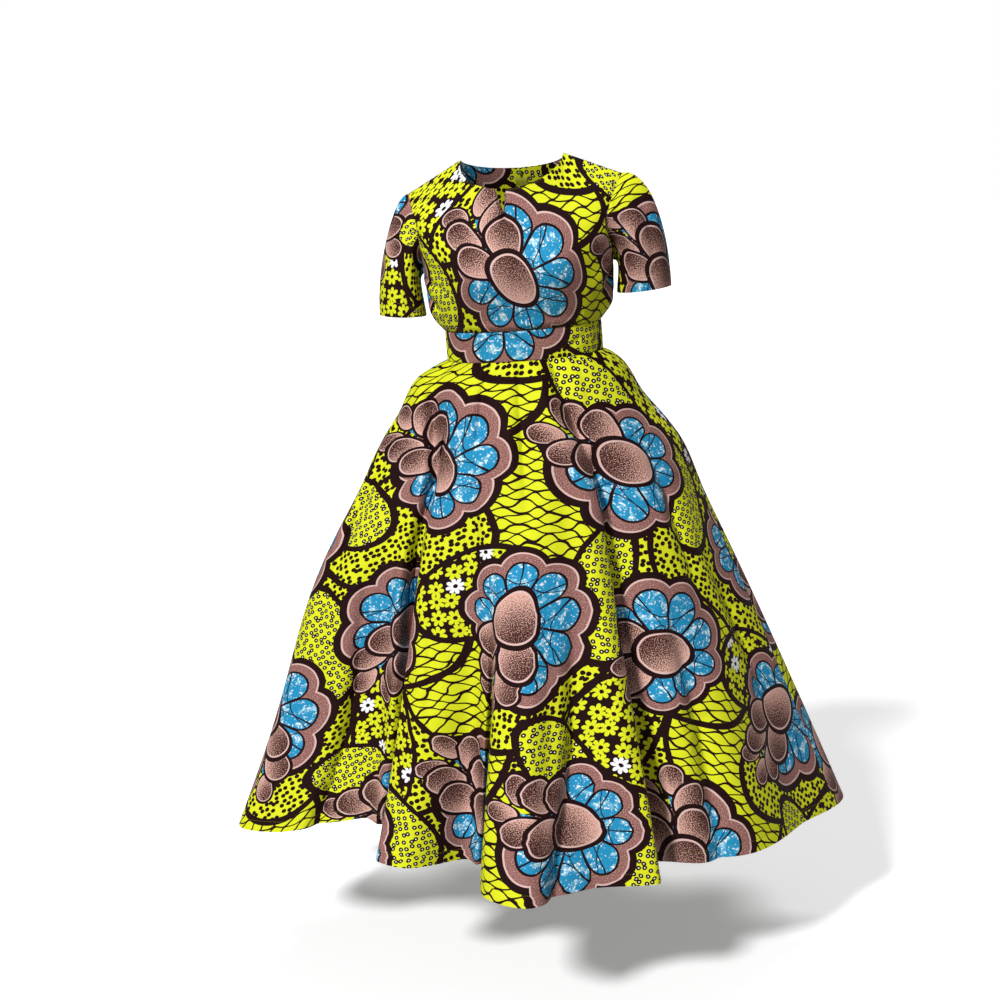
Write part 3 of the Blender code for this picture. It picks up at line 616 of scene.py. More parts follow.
def add_cloth(name, points, facing, cut, thickness=CLOTH, hem_rows=(), stuff=printed_cotton):
    """A thin shell of cloth on a grid of points, mapped on both sides to its place in the cut sheet."""
    rows, columns = points.shape[:2]
    thickness = np.full((rows, 1, 1), thickness)
    for row, hem_thickness in hem_rows:
        thickness[row] = hem_thickness
    inner = points - thickness * outward_of(points, facing)
    number = np.arange(rows * columns).reshape(rows, columns)
    outer_faces = np.stack([number[:-1, :-1], number[:-1, 1:], number[1:, 1:], number[1:, :-1]], axis=-1)
    if facing > 0:
        outer_faces = outer_faces[..., ::-1]
    outer_faces = outer_faces.reshape(-1, 4)
    inner_faces = outer_faces[:, ::-1] + rows * columns
    around = np.concatenate([number[0, :-1], number[:-1, -1], number[-1, :0:-1], number[:0:-1, 0]])
    after = np.roll(around, -1)
    edge_faces = np.stack([around, after, after + rows * columns, around + rows * columns], axis=-1)
    if facing < 0:
        edge_faces = edge_faces[:, ::-1]
    faces = np.concatenate([outer_faces, inner_faces, edge_faces])
    mesh = bpy.data.meshes.new(name)
    skins = np.concatenate([points.reshape(-1, 3), inner.reshape(-1, 3)])
    mesh.from_pydata(skins.tolist(), [], faces.tolist())
    flat = np.concatenate([cut.reshape(-1, 2)] * 2)
    layer = mesh.uv_layers.new(name="cut")
    layer.data.foreach_set("uv", flat[faces.reshape(-1)].reshape(-1).astype(np.float32))
    mesh.materials.append(stuff)
    mesh.shade_smooth()
    mesh.set_sharp_from_angle(angle=math.radians(60))
    return added(name, mesh)


def edge_close(count, edge=0.006):
    """Shares from 0 to 1, close together at both ends, where the cloth rolls into a seam."""
    return np.concatenate([[0, 0.1 * edge, 0.3 * edge, 0.6 * edge], np.linspace(edge, 1 - edge, count),
                           [1 - 0.6 * edge, 1 - 0.3 * edge, 1 - 0.1 * edge, 1]])


def bodice_cut(points, middle_column, offset):
    """Where each point of an upright bodice panel lies in its cut sheet: across from the middle, and up."""
    run = run_along(points, 1)
    middle = np.array([np.interp(middle_column, np.arange(points.shape[1]), row) for row in run])
    across = run - middle[:, None]
    return np.stack([across + offset[0], points[..., 2] + offset[1]], axis=-1)


STITCH_PITCH = 0.0034
STITCH_LENGTH = 0.0027
STITCH_THICKNESS = 0.00042
THREAD_GREEN = (0.36, 0.40, 0.012)
THREAD_SHADE = 0.6
# One stitch along its length: how far from its middle, how thick and how high each ring of it lies
STITCH_RINGS = ((-0.5, 0.25, -0.5), (-0.3, 0.85, 0.1), (0.0, 1.0, 0.3), (0.3, 0.85, 0.1), (0.5, 0.25, -0.5))
STITCH_SIDES = 6

thread = bpy.data.materials.new("sewing_thread")
thread.use_nodes = True
thread_tree = thread.node_tree
thread_place = made("UVMap", {}, thread_tree, uv_map="twist")["UV"]
strands = {"Vector": thread_place, "Scale": 1.0}
twist = made("TexWave", strands, thread_tree, bands_direction="DIAGONAL")["Fac"]
shaded_green = tuple(value * THREAD_SHADE for value in THREAD_GREEN)
twist_tone = painted(shaded_green, THREAD_GREEN, twist, thread_tree)
finish(thread_tree, {"Base Color": twist_tone, "Roughness": 0.6})


def evenly(line, pitch, *beside):
    """A line of points read every pitch along it, with its directions and other values of its points."""
    run = run_along(line, 0)
    at = np.arange(pitch / 2, run[-1], pitch)
    directions = unit(np.gradient(line, axis=0))
    return [np.stack([np.interp(at, run, values[:, i]) for i in range(3)], axis=-1)
            for values in (line, directions, *beside)]


def add_stitches(name, rows, stuff=thread, pitch=STITCH_PITCH, length=STITCH_LENGTH,
                 thickness=STITCH_THICKNESS, across=0.0):
    """Small rounded stitches along rows of a line and its outward directions, crosswise if across is 1."""
    verts, faces, places = [], [], []
    around = np.linspace(0, 2 * math.pi, STITCH_SIDES, endpoint=False)
    for line, outward in rows:
        middles, directions, outwards = evenly(line, pitch, outward)
        sideways = unit(np.cross(directions, outwards))
        outwards = unit(outwards)
        lengthwise = unit(directions * (1 - across) + sideways * across)
        breadth = unit(np.cross(lengthwise, outwards))
        for middle, forward, broad, up in zip(middles, lengthwise, breadth, outwards):
            first = len(verts)
            for step, size, height in STITCH_RINGS:
                centre = middle + forward * step * length + up * height * thickness
                for angle in around:
                    edge = (broad * math.cos(angle) + up * math.sin(angle)) * size * thickness / 2
                    verts.append(centre + edge)
                    places.append((step * 3, angle / 3))
            for ring in range(len(STITCH_RINGS) - 1):
                for side in range(STITCH_SIDES):
                    here = first + ring * STITCH_SIDES + side
                    beside = first + ring * STITCH_SIDES + (side + 1) % STITCH_SIDES
                    faces.append((here, beside, beside + STITCH_SIDES, here + STITCH_SIDES))
            last = first + (len(STITCH_RINGS) - 1) * STITCH_SIDES
            faces.append(tuple(range(first + STITCH_SIDES - 1, first - 1, -1)))
            faces.append(tuple(range(last, last + STITCH_SIDES)))
    mesh = bpy.data.meshes.new(name)
    mesh.from_pydata(verts, [], faces)
    layer = mesh.uv_layers.new(name="twist")
    corners = np.array([places[vert] for face in faces for vert in face], dtype=np.float32)
    layer.data.foreach_set("uv", corners.reshape(-1))
    mesh.materials.append(stuff)
    mesh.shade_smooth()
    return added(name, mesh)


WAIST_BLOUSE = 0.004
BLOUSE_SHARE = 0.035
BLOUSE_SPREAD = 0.03
NECK_STITCHING = 0.983
BODICE_FRONT_CREASES = [
    Crease((0.99, 0.34), (0.60, 0.12), -0.03, 0.016, (0.016, 0.015, 0.002)),
    Crease((-0.99, 0.30), (-0.66, 0.12), 0.03, 0.011, (0.008, 0.007, 0)),
    Crease((-0.88, 0.40), (-0.52, 0.30), 0.02, 0.006, (0.003, 0.004, 0)),
    Crease((-0.96, 0.24), (-0.60, 0.16), 0.03, 0.007, (0.003, 0.003, 0)),
    Crease((-0.90, 0.10), (-0.55, 0.10), 0.00, 0.006, (0.002, 0.002, 0)),
    Crease((0.97, 0.36), (0.62, 0.22), -0.03, 0.007, (0.004, 0.004, 0)),
    Crease((0.95, 0.20), (0.58, 0.12), 0.02, 0.008, (0.003, 0.004, 0)),
    Crease((0.92, 0.50), (0.70, 0.40), 0.02, 0.006, (0.003, 0.003, 0)),
    Crease((0.93, 0.70), (0.62, 0.62), 0.00, 0.009, (0.003, 0.002, 0)),
    Crease((-0.93, 0.72), (-0.66, 0.60), 0.02, 0.008, (0.003, 0.002, 0)),
    Crease((-0.46, 0.00), (-0.46, 0.16), 0.00, 0.003, (0.0012, 0.0012, 0)),
    Crease((0.46, 0.00), (0.46, 0.16), 0.00, 0.003, (0.0012, 0.0012, 0)),
    Crease((-0.10, 0.50), (0.10, 0.10), 0.04, 0.020, (0, 0.003, 0)),
]
slit = SLIT_MIDDLE + np.array([-1, -0.5, 0, 0.5, 1]) * SLIT_HALF_WIDTH
slit_columns = NECK_SHARE * np.arcsin(slit / NECK_HALF_WIDTH) * 2 / math.pi
s = np.sort(np.concatenate([edge_close(120) * 2 - 1, slit_columns]))
share = edge_close(90, 0.01)
upright = bodice(True, s, share)
blousing = np.exp(-(((share - BLOUSE_SHARE) / BLOUSE_SPREAD) ** 2)) * (share > 0)
upright[..., 1] -= WAIST_BLOUSE * (blousing[:, None] * np.cos(s * math.pi / 2))
upright[:, [0, -1], 1] -= SEAM_GAP / 2
upright[-1, np.abs(s) >= NECK_SHARE, 1] -= SEAM_GAP / 2
front_cut = bodice_cut(upright, (len(s) - 1) / 2, (0.49, 0.345))
front_seams = ("left", "right", "top")
points = creased(pose(upright), s, share, -1, BODICE_FRONT_CREASES, front_seams, straight_in=0.5)
neck_hem = [(row, NECK_CLOTH) for row in (-1, -2)]
bodice_front = add_cloth("bodice_front_cloth", points, -1, front_cut, hem_rows=neck_hem)
neck_row = np.searchsorted(share, NECK_STITCHING)
in_neck = np.abs(s) < NECK_SHARE
add_stitches("neckline_stitches", [(points[neck_row, in_neck], outward_of(points, -1)[neck_row, in_neck])])
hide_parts("bodice_front")


# The bodice's backs.
# Two panels that meet at the zip, each with a waist dart and a few drags between shoulder blade and waist.
ZIP_SLOT_HALF_WIDTH = 0.0027
ZIP_SLOT_SHARES = (0.930, 0.945, 0.988, 0.998)
BODICE_BACK_CREASES = {
    1: [
        Crease((0.45, 0.00), (0.45, 0.20), 0.00, 0.003, (0.0012, 0.0012, 0)),
        Crease((0.95, 0.30), (0.50, 0.20), 0.03, 0.008, (0.004, 0.004, 0)),
        Crease((0.92, 0.14), (0.35, 0.11), -0.02, 0.007, (0.003, 0.003, 0)),
        Crease((0.88, 0.62), (0.55, 0.45), 0.02, 0.010, (0.003, 0.003, 0)),
    ],
    -1: [
        Crease((-0.47, 0.00), (-0.47, 0.19), 0.00, 0.003, (0.0012, 0.0012, 0)),
        Crease((-0.94, 0.24), (-0.42, 0.16), -0.02, 0.007, (0.003, 0.004, 0)),
        Crease((-0.90, 0.40), (-0.60, 0.28), 0.02, 0.008, (0.003, 0.003, 0)),
        Crease((-0.86, 0.70), (-0.50, 0.50), 0.03, 0.011, (0.003, 0.003, 0)),
    ],
}
ZIP_TOP_SHARE = 0.95
ZIP_EDGE_COLUMN = 14
zip_edges = {1: [], -1: []}


def keep_zip_edge(side, points, facing, rows, seam):
    """Keeps a panel's edge at the zip, a column beside it and its outward directions, for the tape."""
    beside = ZIP_EDGE_COLUMN if seam == 0 else seam - ZIP_EDGE_COLUMN
    outward = outward_of(points, facing)[rows, seam]
    zip_edges[side].append([points[rows, seam], points[rows, beside], outward])


for name, side in (("bodice_back_left", 1), ("bodice_back_right", -1)):
    s = np.sort(side * edge_close(60, 0.012))
    upright = bodice(False, s, share)
    seam, side_column = (0, -1) if side > 0 else (-1, 0)
    slot_widths = (SEAM_GAP / 2, ZIP_SLOT_HALF_WIDTH, ZIP_SLOT_HALF_WIDTH, SEAM_GAP / 2)
    upright[:, seam, 0] += side * np.interp(share, ZIP_SLOT_SHARES, slot_widths)
    upright[:, side_column, 1] += SEAM_GAP / 2
    upright[-1, np.abs(s) >= NECK_SHARE, 1] += SEAM_GAP / 2
    cut = bodice_cut(upright, seam % len(s), (0.33 * side, 0.11))
    points = creased(pose(upright), s, share, 1, BODICE_BACK_CREASES[side], ("left", "right", "top"))
    in_neck = np.abs(s) < NECK_SHARE
    add_stitches(name + "_stitches", [(points[neck_row, in_neck], outward_of(points, 1)[neck_row, in_neck])])
    below_top = np.nonzero(share < ZIP_TOP_SHARE)[0][::-1]
    keep_zip_edge(side, points, 1, below_top, seam)
    panel = add_cloth(name + "_cloth", points, 1, cut, hem_rows=neck_hem)
    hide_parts(name)


# The waistband.
# A straight band in three lengths, joined at the side seams and open at the zip.
WAIST_HEIGHT = 0.053
WAIST_BOTTOM = WAIST_TOP - WAIST_HEIGHT
WAIST_HALF_WIDTH = 0.141
WAIST_FRONT = -0.112
WAIST_BACK = 0.100


def waist_ring(angle, height):
    """Upright points of the waist at a height, for angles in degrees from the centre front."""
    turn = np.radians(angle)
    depth = np.where(np.cos(turn) > 0, -WAIST_FRONT, WAIST_BACK)
    x = WAIST_HALF_WIDTH * np.sin(turn)
    return np.stack([x, -depth * np.cos(turn), np.full_like(turn, height)], axis=-1)


BAND_CREASES = {
    "waistband_front": [
        Crease((-60, 0.2), (-38, 0.9), 3, 0.005, (0, 0.002, 0.001)),
        Crease((-30, 0.9), (12, 0.4), 4, 0.006, (0.001, 0.0022, 0)),
        Crease((30, 0.1), (58, 0.8), -4, 0.005, (0.001, 0.002, 0)),
        Crease((66, 0.3), (84, 0.7), 0, 0.006, (0, 0.003, 0.002)),
    ],
    "waistband_back_left": [
        Crease((96, 0.6), (128, 0.4), 3, 0.006, (0.002, 0.003, 0)),
        Crease((140, 0.8), (165, 0.3), 2, 0.005, (0, 0.002, 0)),
    ],
    "waistband_back_right": [
        Crease((264, 0.3), (236, 0.7), 3, 0.006, (0.002, 0.0025, 0)),
        Crease((222, 0.2), (196, 0.6), 2, 0.005, (0, 0.002, 0)),
    ],
}
HALF_GAP = math.degrees(SEAM_GAP / 2 / WAIST_BACK)
BAND_CLOTH = 0.0010
for name, first, last, count, offset in (
    ("waistband_front", -90, 90, 120, (0.21, 0.40)),
    ("waistband_back_left", 90, 180, 60, (0.35, 0.12)),
    ("waistband_back_right", 180, 270, 60, (0.70, 0.07)),
):
    angles = first + HALF_GAP + (last - first - 2 * HALF_GAP) * edge_close(count)
    shares = edge_close(16, 0.06)
    heights = WAIST_BOTTOM + (WAIST_HEIGHT - SEAM_GAP) * shares
    upright = np.stack([waist_ring(angles, height) for height in heights])
    middle = {-90: (len(angles) - 1) / 2, 90: 0, 180: len(angles) - 1}[first]
    cut = bodice_cut(upright, middle, offset)
    points = creased(pose(upright), angles, shares, -1, BAND_CREASES[name], ALL_SEAMS, seam_fade=0.006)
    if name != "waistband_front":
        side, seam = (1, -1) if name == "waistband_back_left" else (-1, 0)
        keep_zip_edge(side, points, -1, np.arange(len(shares))[::-1], seam)
    band = add_cloth(name + "_cloth", points, -1, cut, thickness=BAND_CLOTH)
    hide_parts(name)


# The skirt.
# Three panels of a skirt cut nearly as a circle. Its folds hang from the waist and widen to the hem, and it
# stands out over the filled pockets.
HEM_HEIGHT = -1.200
HEM_MEAN_RADIUS = 0.493
HEM_SIDE_LEAN = 0.047
HEM_OVALNESS = 0.031
POCKET_MIDDLE = 0.19
POCKET_HALF_HEIGHT = 0.09
POCKET_FRONT_GAPE = 3.2
POCKET_BACK_GAPE = 1.8
FOLD_POWER = 0.95

# "angle" is in degrees from the centre front to the left side, "radius" from the skirt's axis, "lift" above
# the hem's height and "start" how far down the skirt the fold begins.
Fold = namedtuple("Fold", "angle radius lift start")
FOLDS = [
    Fold(-98, 0.470, 0.010, 0.05),
    Fold(-77, 0.533, 0, 0.05),
    Fold(-68, 0.482, 0.008, 0.05),
    Fold(-61, 0.400, 0.028, 0.03),
    Fold(-54, 0.345, 0.042, 0.02),
    Fold(-46, 0.345, 0.040, 0.02),
    Fold(-39, 0.407, 0.002, 0.02),
    Fold(-32, 0.402, 0, 0.05),
    Fold(-19, 0.318, 0, 0.25),
    Fold(-13, 0.350, 0, 0.35),
    Fold(-8, 0.500, 0, 0.35),
    Fold(0, 0.543, 0, 0.30),
    Fold(6, 0.494, 0, 0.20),
    Fold(15, 0.458, 0, 0.05),
    Fold(27, 0.478, 0, 0.02),
    Fold(35, 0.388, 0, 0.00),
    Fold(44, 0.436, 0, 0.02),
    Fold(58, 0.484, 0, 0.10),
    Fold(77, 0.514, 0, 0.10),
    Fold(98, 0.612, 0, 0.10),
    Fold(113, 0.505, 0.012, 0.05),
    Fold(128, 0.575, 0, 0.05),
    Fold(143, 0.445, 0.020, 0.02),
    Fold(158, 0.535, 0, 0.05),
    Fold(174, 0.435, 0.018, 0.02),
    Fold(190, 0.530, 0, 0.05),
    Fold(206, 0.430, 0.020, 0.02),
    Fold(222, 0.540, 0, 0.05),
    Fold(236, 0.440, 0.015, 0.02),
    Fold(250, 0.525, 0, 0.05),
]

# Where the skirt stands out past its even flare, as over a filled pocket, or falls inside it.
# "angle" and "spread" are in degrees, "share" and "height" are shares of the skirt's length.
Bulge = namedtuple("Bulge", "angle spread share height fullness")
BULGES = [
    Bulge(-85, 28, 0.05, 0.05, 0.016),
    Bulge(-85, 28, 0.17, 0.08, 0.012),
    Bulge(-80, 38, 0.46, 0.25, 0.031),
    Bulge(85, 28, 0.09, 0.05, -0.010),
    Bulge(85, 28, 0.20, 0.08, 0.013),
]


def fold_column(column, angle):
    """One column of FOLDS read at any angle, without overshooting its ridges and valleys."""
    angles = np.array([fold.angle for fold in FOLDS], float)
    values = np.array([getattr(fold, column) for fold in FOLDS], float)
    angles = np.concatenate([angles[-2:] - 360, angles, angles[:2] + 360])
    values = np.concatenate([values[-2:], values, values[:2]])
    rise = np.diff(values) / np.diff(angles)
    slopes = np.zeros(len(values))
    same = rise[1:] * rise[:-1] > 0
    slopes[1:-1][same] = 2 * rise[1:][same] * rise[:-1][same] / (rise[1:] + rise[:-1])[same]
    wrapped = (angle - FOLDS[0].angle) % 360 + FOLDS[0].angle
    return through(angles, values, slopes, wrapped)


def growth(share):
    """How far the skirt has flared from the waist to the hem: it stands out at once and then falls."""
    ease = (1 - np.exp(-5 * share)) / (1 - math.exp(-5))
    return 0.80 * share + 0.14 * ease + 0.06 * (1 - np.exp(-60 * share))


def skirt(angle, share):
    """Points of the skirt's outer skin, angle in degrees from the centre front, share from waist to hem."""
    turn = np.radians(angle)
    top = pose(waist_ring(angle, WAIST_BOTTOM - SEAM_GAP))
    axis_x = -WAIST_BOTTOM * math.sin(ROLL)
    mean = HEM_MEAN_RADIUS + HEM_SIDE_LEAN * np.sin(turn) - HEM_OVALNESS * np.cos(2 * turn)
    start = fold_column("start", angle)
    fold = np.clip((share - start) / (1 - start), 0, 1) ** FOLD_POWER
    extra = (fold_column("radius", angle) - mean) * fold
    for bulge in BULGES:
        across = ((angle - bulge.angle + 180) % 360 - 180) / bulge.spread
        down = (share - bulge.share) / bulge.height
        extra = extra + bulge.fullness * np.exp(-(across**2) - down**2) * np.clip(share / 0.03, 0, 1)
    g = growth(share)
    x = top[..., 0] * (1 - g) + (axis_x + mean * np.sin(turn)) * g + extra * np.sin(turn)
    y = top[..., 1] * (1 - g) - mean * np.cos(turn) * g - extra * np.cos(turn)
    hem_z = HEM_HEIGHT + fold_column("lift", angle)
    z = top[..., 2] * (1 - share) + hem_z * share
    return np.stack([x, y, z], axis=-1)


def spread_evenly(first, last, share, fractions):
    """Angles from first to last that divide the skirt's ring at one height by shares of its length."""
    angles = np.linspace(first, last, 1441)
    run = run_along(skirt(angles, np.full_like(angles, share)), 0)
    return np.interp(fractions * run[-1], run, angles)


SKIRT_CREASES = {
    "skirt_front": [
        Crease((0.130, 0.00), (0.258, 0.27), 0.012, 0.024, (0.008, 0.027, 0.016), 0.45),
        Crease((0.250, 0.20), (0.242, 1.00), 0.014, 0.030, (0.012, 0.060, 0.040), 0.55),
        Crease((0.440, 0.50), (0.402, 1.00), 0.006, 0.028, (0, 0.046, 0.040), 0.55),
        Crease((0.600, 0.00), (0.668, 0.27), -0.008, 0.023, (0.012, 0.034, 0.016), 0.30),
        Crease((0.660, 0.20), (0.700, 1.00), -0.008, 0.032, (0.012, 0.062, 0.040), 0.35),
        Crease((0.880, 0.36), (0.935, 0.74), 0.010, 0.024, (0, 0.020, 0.004), 0.40),
        Crease((0.800, 0.10), (0.840, 0.55), 0.008, 0.023, (0, 0.020, 0), 0.40),
        Crease((0.360, 0.00), (0.350, 0.26), 0.010, 0.016, (0.006, 0.011, 0), 0.40),
        Crease((0.480, 0.00), (0.500, 0.32), -0.008, 0.018, (0.005, 0.011, 0), 0.40),
        Crease((0.080, 0.10), (0.110, 0.62), 0.015, 0.020, (0.004, 0.016, 0), 0.30),
        Crease((0.180, 0.42), (0.160, 1.00), 0.008, 0.026, (0, 0.022, 0.016), 0.50),
        Crease((0.330, 0.30), (0.318, 0.86), 0.008, 0.024, (0, 0.014, 0), 0.50),
        Crease((0.770, 0.46), (0.790, 1.00), 0.006, 0.026, (0, 0.022, 0.014), 0.45),
        Crease((0.580, 0.46), (0.560, 1.00), 0.010, 0.026, (0, 0.022, 0.014), 0.50),
    ],
    "skirt_back_left": [
        Crease((0.160, 0.00), (0.200, 0.40), 0.02, 0.016, (0.005, 0.010, 0)),
        Crease((0.420, 0.00), (0.380, 1.00), 0.02, 0.022, (0.006, 0.016, 0.012)),
        Crease((0.640, 0.10), (0.700, 0.80), -0.02, 0.020, (0, 0.012, 0)),
        Crease((0.860, 0.25), (0.840, 1.00), 0.02, 0.022, (0, 0.012, 0.010)),
    ],
    "skirt_back_right": [
        Crease((0.180, 0.20), (0.140, 1.00), 0.02, 0.022, (0, 0.012, 0.010)),
        Crease((0.380, 0.00), (0.340, 0.55), -0.02, 0.018, (0.005, 0.010, 0)),
        Crease((0.600, 0.05), (0.640, 1.00), 0.02, 0.022, (0.006, 0.016, 0.010)),
        Crease((0.830, 0.10), (0.860, 0.60), 0.01, 0.018, (0.004, 0.010, 0)),
    ],
}
CLOSER = {"skirt_front": (0.255, 0.425, 0.68), "skirt_back_left": (0.40,), "skirt_back_right": (0.62,)}


def closer_at(fractions, places):
    """The shares of a row moved closer together round some places, where a sharp fold runs."""
    fine = np.linspace(0, 1, 2001)
    density = 1 + sum(2.2 * np.exp(-(((fine - place) / 0.035) ** 2)) for place in places)
    density = np.where((fine < 0.02) | (fine > 0.98), 1, density)
    run = np.concatenate([[0], np.cumsum((density[1:] + density[:-1]) / 2)])
    return np.interp(fractions, run / run[-1], fine)


HEM_SPREAD = 4.0
HEM_TURNING = 0.978
GROOVE_DEPTH = 0.0004
GROOVE_WIDTH = 0.0012
ZIP_END_SHARE = 0.19
MOUTH_STITCHING = 7
skirt_shares = np.concatenate([[0, 0.001, 0.003, 0.006], np.linspace(0.010, HEM_TURNING - 0.004, 112),
                               HEM_TURNING + np.array([-1, 0, 1]) * GROOVE_WIDTH,
                               np.linspace(HEM_TURNING + 0.004, 0.998, 5), [1.0]])
for name, first, last, count, offset in (
    ("skirt_front", -90, 90, 350, (0.642, 0.555)),
    ("skirt_back_left", 90, 180, 180, (0.40, 0.2)),
    ("skirt_back_right", 180, 270, 180, (0.15, 0.35)),
):
    fractions = closer_at(edge_close(count, 0.006), CLOSER[name])
    rings = []
    for share in skirt_shares:
        opening = np.clip(1 - ((share - POCKET_MIDDLE) / POCKET_HALF_HEIGHT) ** 2, 0, 1)
        half_gap = HALF_GAP / (1 + HEM_SPREAD * growth(share))
        begin = first + half_gap + {-90: POCKET_FRONT_GAPE, 90: POCKET_BACK_GAPE, 180: 0}[first] * opening
        end = last - half_gap - {90: POCKET_FRONT_GAPE, 180: 0, 270: POCKET_BACK_GAPE}[last] * opening
        angles = spread_evenly(begin, end, share, fractions)
        rings.append(skirt(angles, np.full_like(angles, share)))
    points = np.stack(rings)
    waist_length = step_lengths(points[0], 0).sum()
    hem_length = step_lengths(points[-1], 0).sum()
    slant = step_lengths(points, 0).sum(axis=0).mean()
    inner_radius = slant * waist_length / (hem_length - waist_length)
    fan = waist_length / inner_radius
    points = creased(points, fractions, skirt_shares, 1, SKIRT_CREASES[name], ("left", "right", "top"),
                     straight_in=0.8 if name == "skirt_front" else 0.0)
    along_row = run_along(points, 1)
    radius = inner_radius + slant * skirt_shares[:, None]
    turn = fan * (along_row / along_row[:, -1:] - 0.5)
    cut = np.stack([radius * np.sin(turn) + offset[0], -radius * np.cos(turn) + offset[1]], axis=-1)
    groove = np.exp(-(((skirt_shares - HEM_TURNING) / GROOVE_WIDTH) ** 2)) * GROOVE_DEPTH
    points = points - groove[:, None, None] * outward_of(points, 1)
    outward = outward_of(points, 1)
    turning = np.searchsorted(skirt_shares, HEM_TURNING)
    stitched = [(points[turning], outward[turning])]
    beside_mouth = np.nonzero(np.abs(skirt_shares - POCKET_MIDDLE) < POCKET_HALF_HEIGHT)[0]
    if name == "skirt_front":
        for column in (MOUTH_STITCHING, -1 - MOUTH_STITCHING):
            stitched.append((points[beside_mouth, column], outward[beside_mouth, column]))
    else:
        side, seam = (1, -1) if name == "skirt_back_left" else (-1, 0)
        keep_zip_edge(side, points, 1, np.nonzero(skirt_shares <= ZIP_END_SHARE)[0], seam)
    add_stitches(name + "_stitches", stitched)
    hem_rows = [(row, HEM_CLOTH) for row in np.nonzero(skirt_shares > HEM_TURNING)[0]]
    panel = add_cloth(name + "_cloth", points, 1, cut, hem_rows=hem_rows)
    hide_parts(name)
    outer_radius = inner_radius + slant
    flat = (2 * outer_radius * math.sin(fan / 2), outer_radius - inner_radius * math.cos(fan / 2))
    fan / 2 * (outer_radius**2 - inner_radius**2)


# The sleeves.
# Two short set-in sleeves. Each starts from the armhole's edge, stands out over the shoulder and falls to
# its cuff.
ARMHOLE_GAP = 0.0005
UNDERARM_REACH = 0.014
CAP_DROP = 0.085
UNDERARM_DROP = 0.018
CUFF_TURNING = 0.86
CUFF_GROOVE_WIDTH = 0.007

Sleeve = namedtuple("Sleeve", "name side hem_x hem_z half_width half_depth lift cap_reach cap_rise "
                    "cut creases")
SLEEVES = [
    Sleeve("sleeve_right", -1, 0.214, -0.266, 0.042, 0.058, 0.004, 0.030, 0, (0.24, 0.31), [
        Crease((0.66, 0.08), (0.86, 0.55), 0.02, 0.008, (0.004, 0.005, 0)),
        Crease((0.58, 0.20), (0.70, 0.80), 0.02, 0.009, (0.002, 0.004, 0)),
        Crease((0.30, 0.20), (0.20, 0.85), 0.02, 0.010, (0.002, 0.004, 0.002)),
        Crease((0.40, 0.10), (0.36, 0.50), 0.00, 0.008, (0.003, 0.003, 0)),
    ]),
    Sleeve("sleeve_left", 1, 0.222, -0.252, 0.049, 0.061, 0.003, 0.058, 0.006, (0.53, 0.125), [
        Crease((0.34, 0.06), (0.16, 0.50), 0.02, 0.009, (0.004, 0.006, 0)),
        Crease((0.42, 0.20), (0.30, 0.85), 0.02, 0.010, (0.003, 0.004, 0.002)),
        Crease((0.24, 0.30), (0.10, 0.90), -0.01, 0.010, (0, 0.004, 0.002)),
        Crease((0.70, 0.10), (0.80, 0.70), 0.02, 0.010, (0.003, 0.004, 0)),
    ]),
]


def armhole_normal(side, turn):
    """The direction that the bodice's and the sleeve's edges share round an armhole, 0 at the shoulder."""
    under = (1 - np.cos(turn)) / 2
    up = np.where(np.cos(turn) < 0, 0.7, 1.0) * np.cos(turn)
    return unit(np.stack([side * (0.4 + 0.3 * under), -np.sin(turn), up], axis=-1))


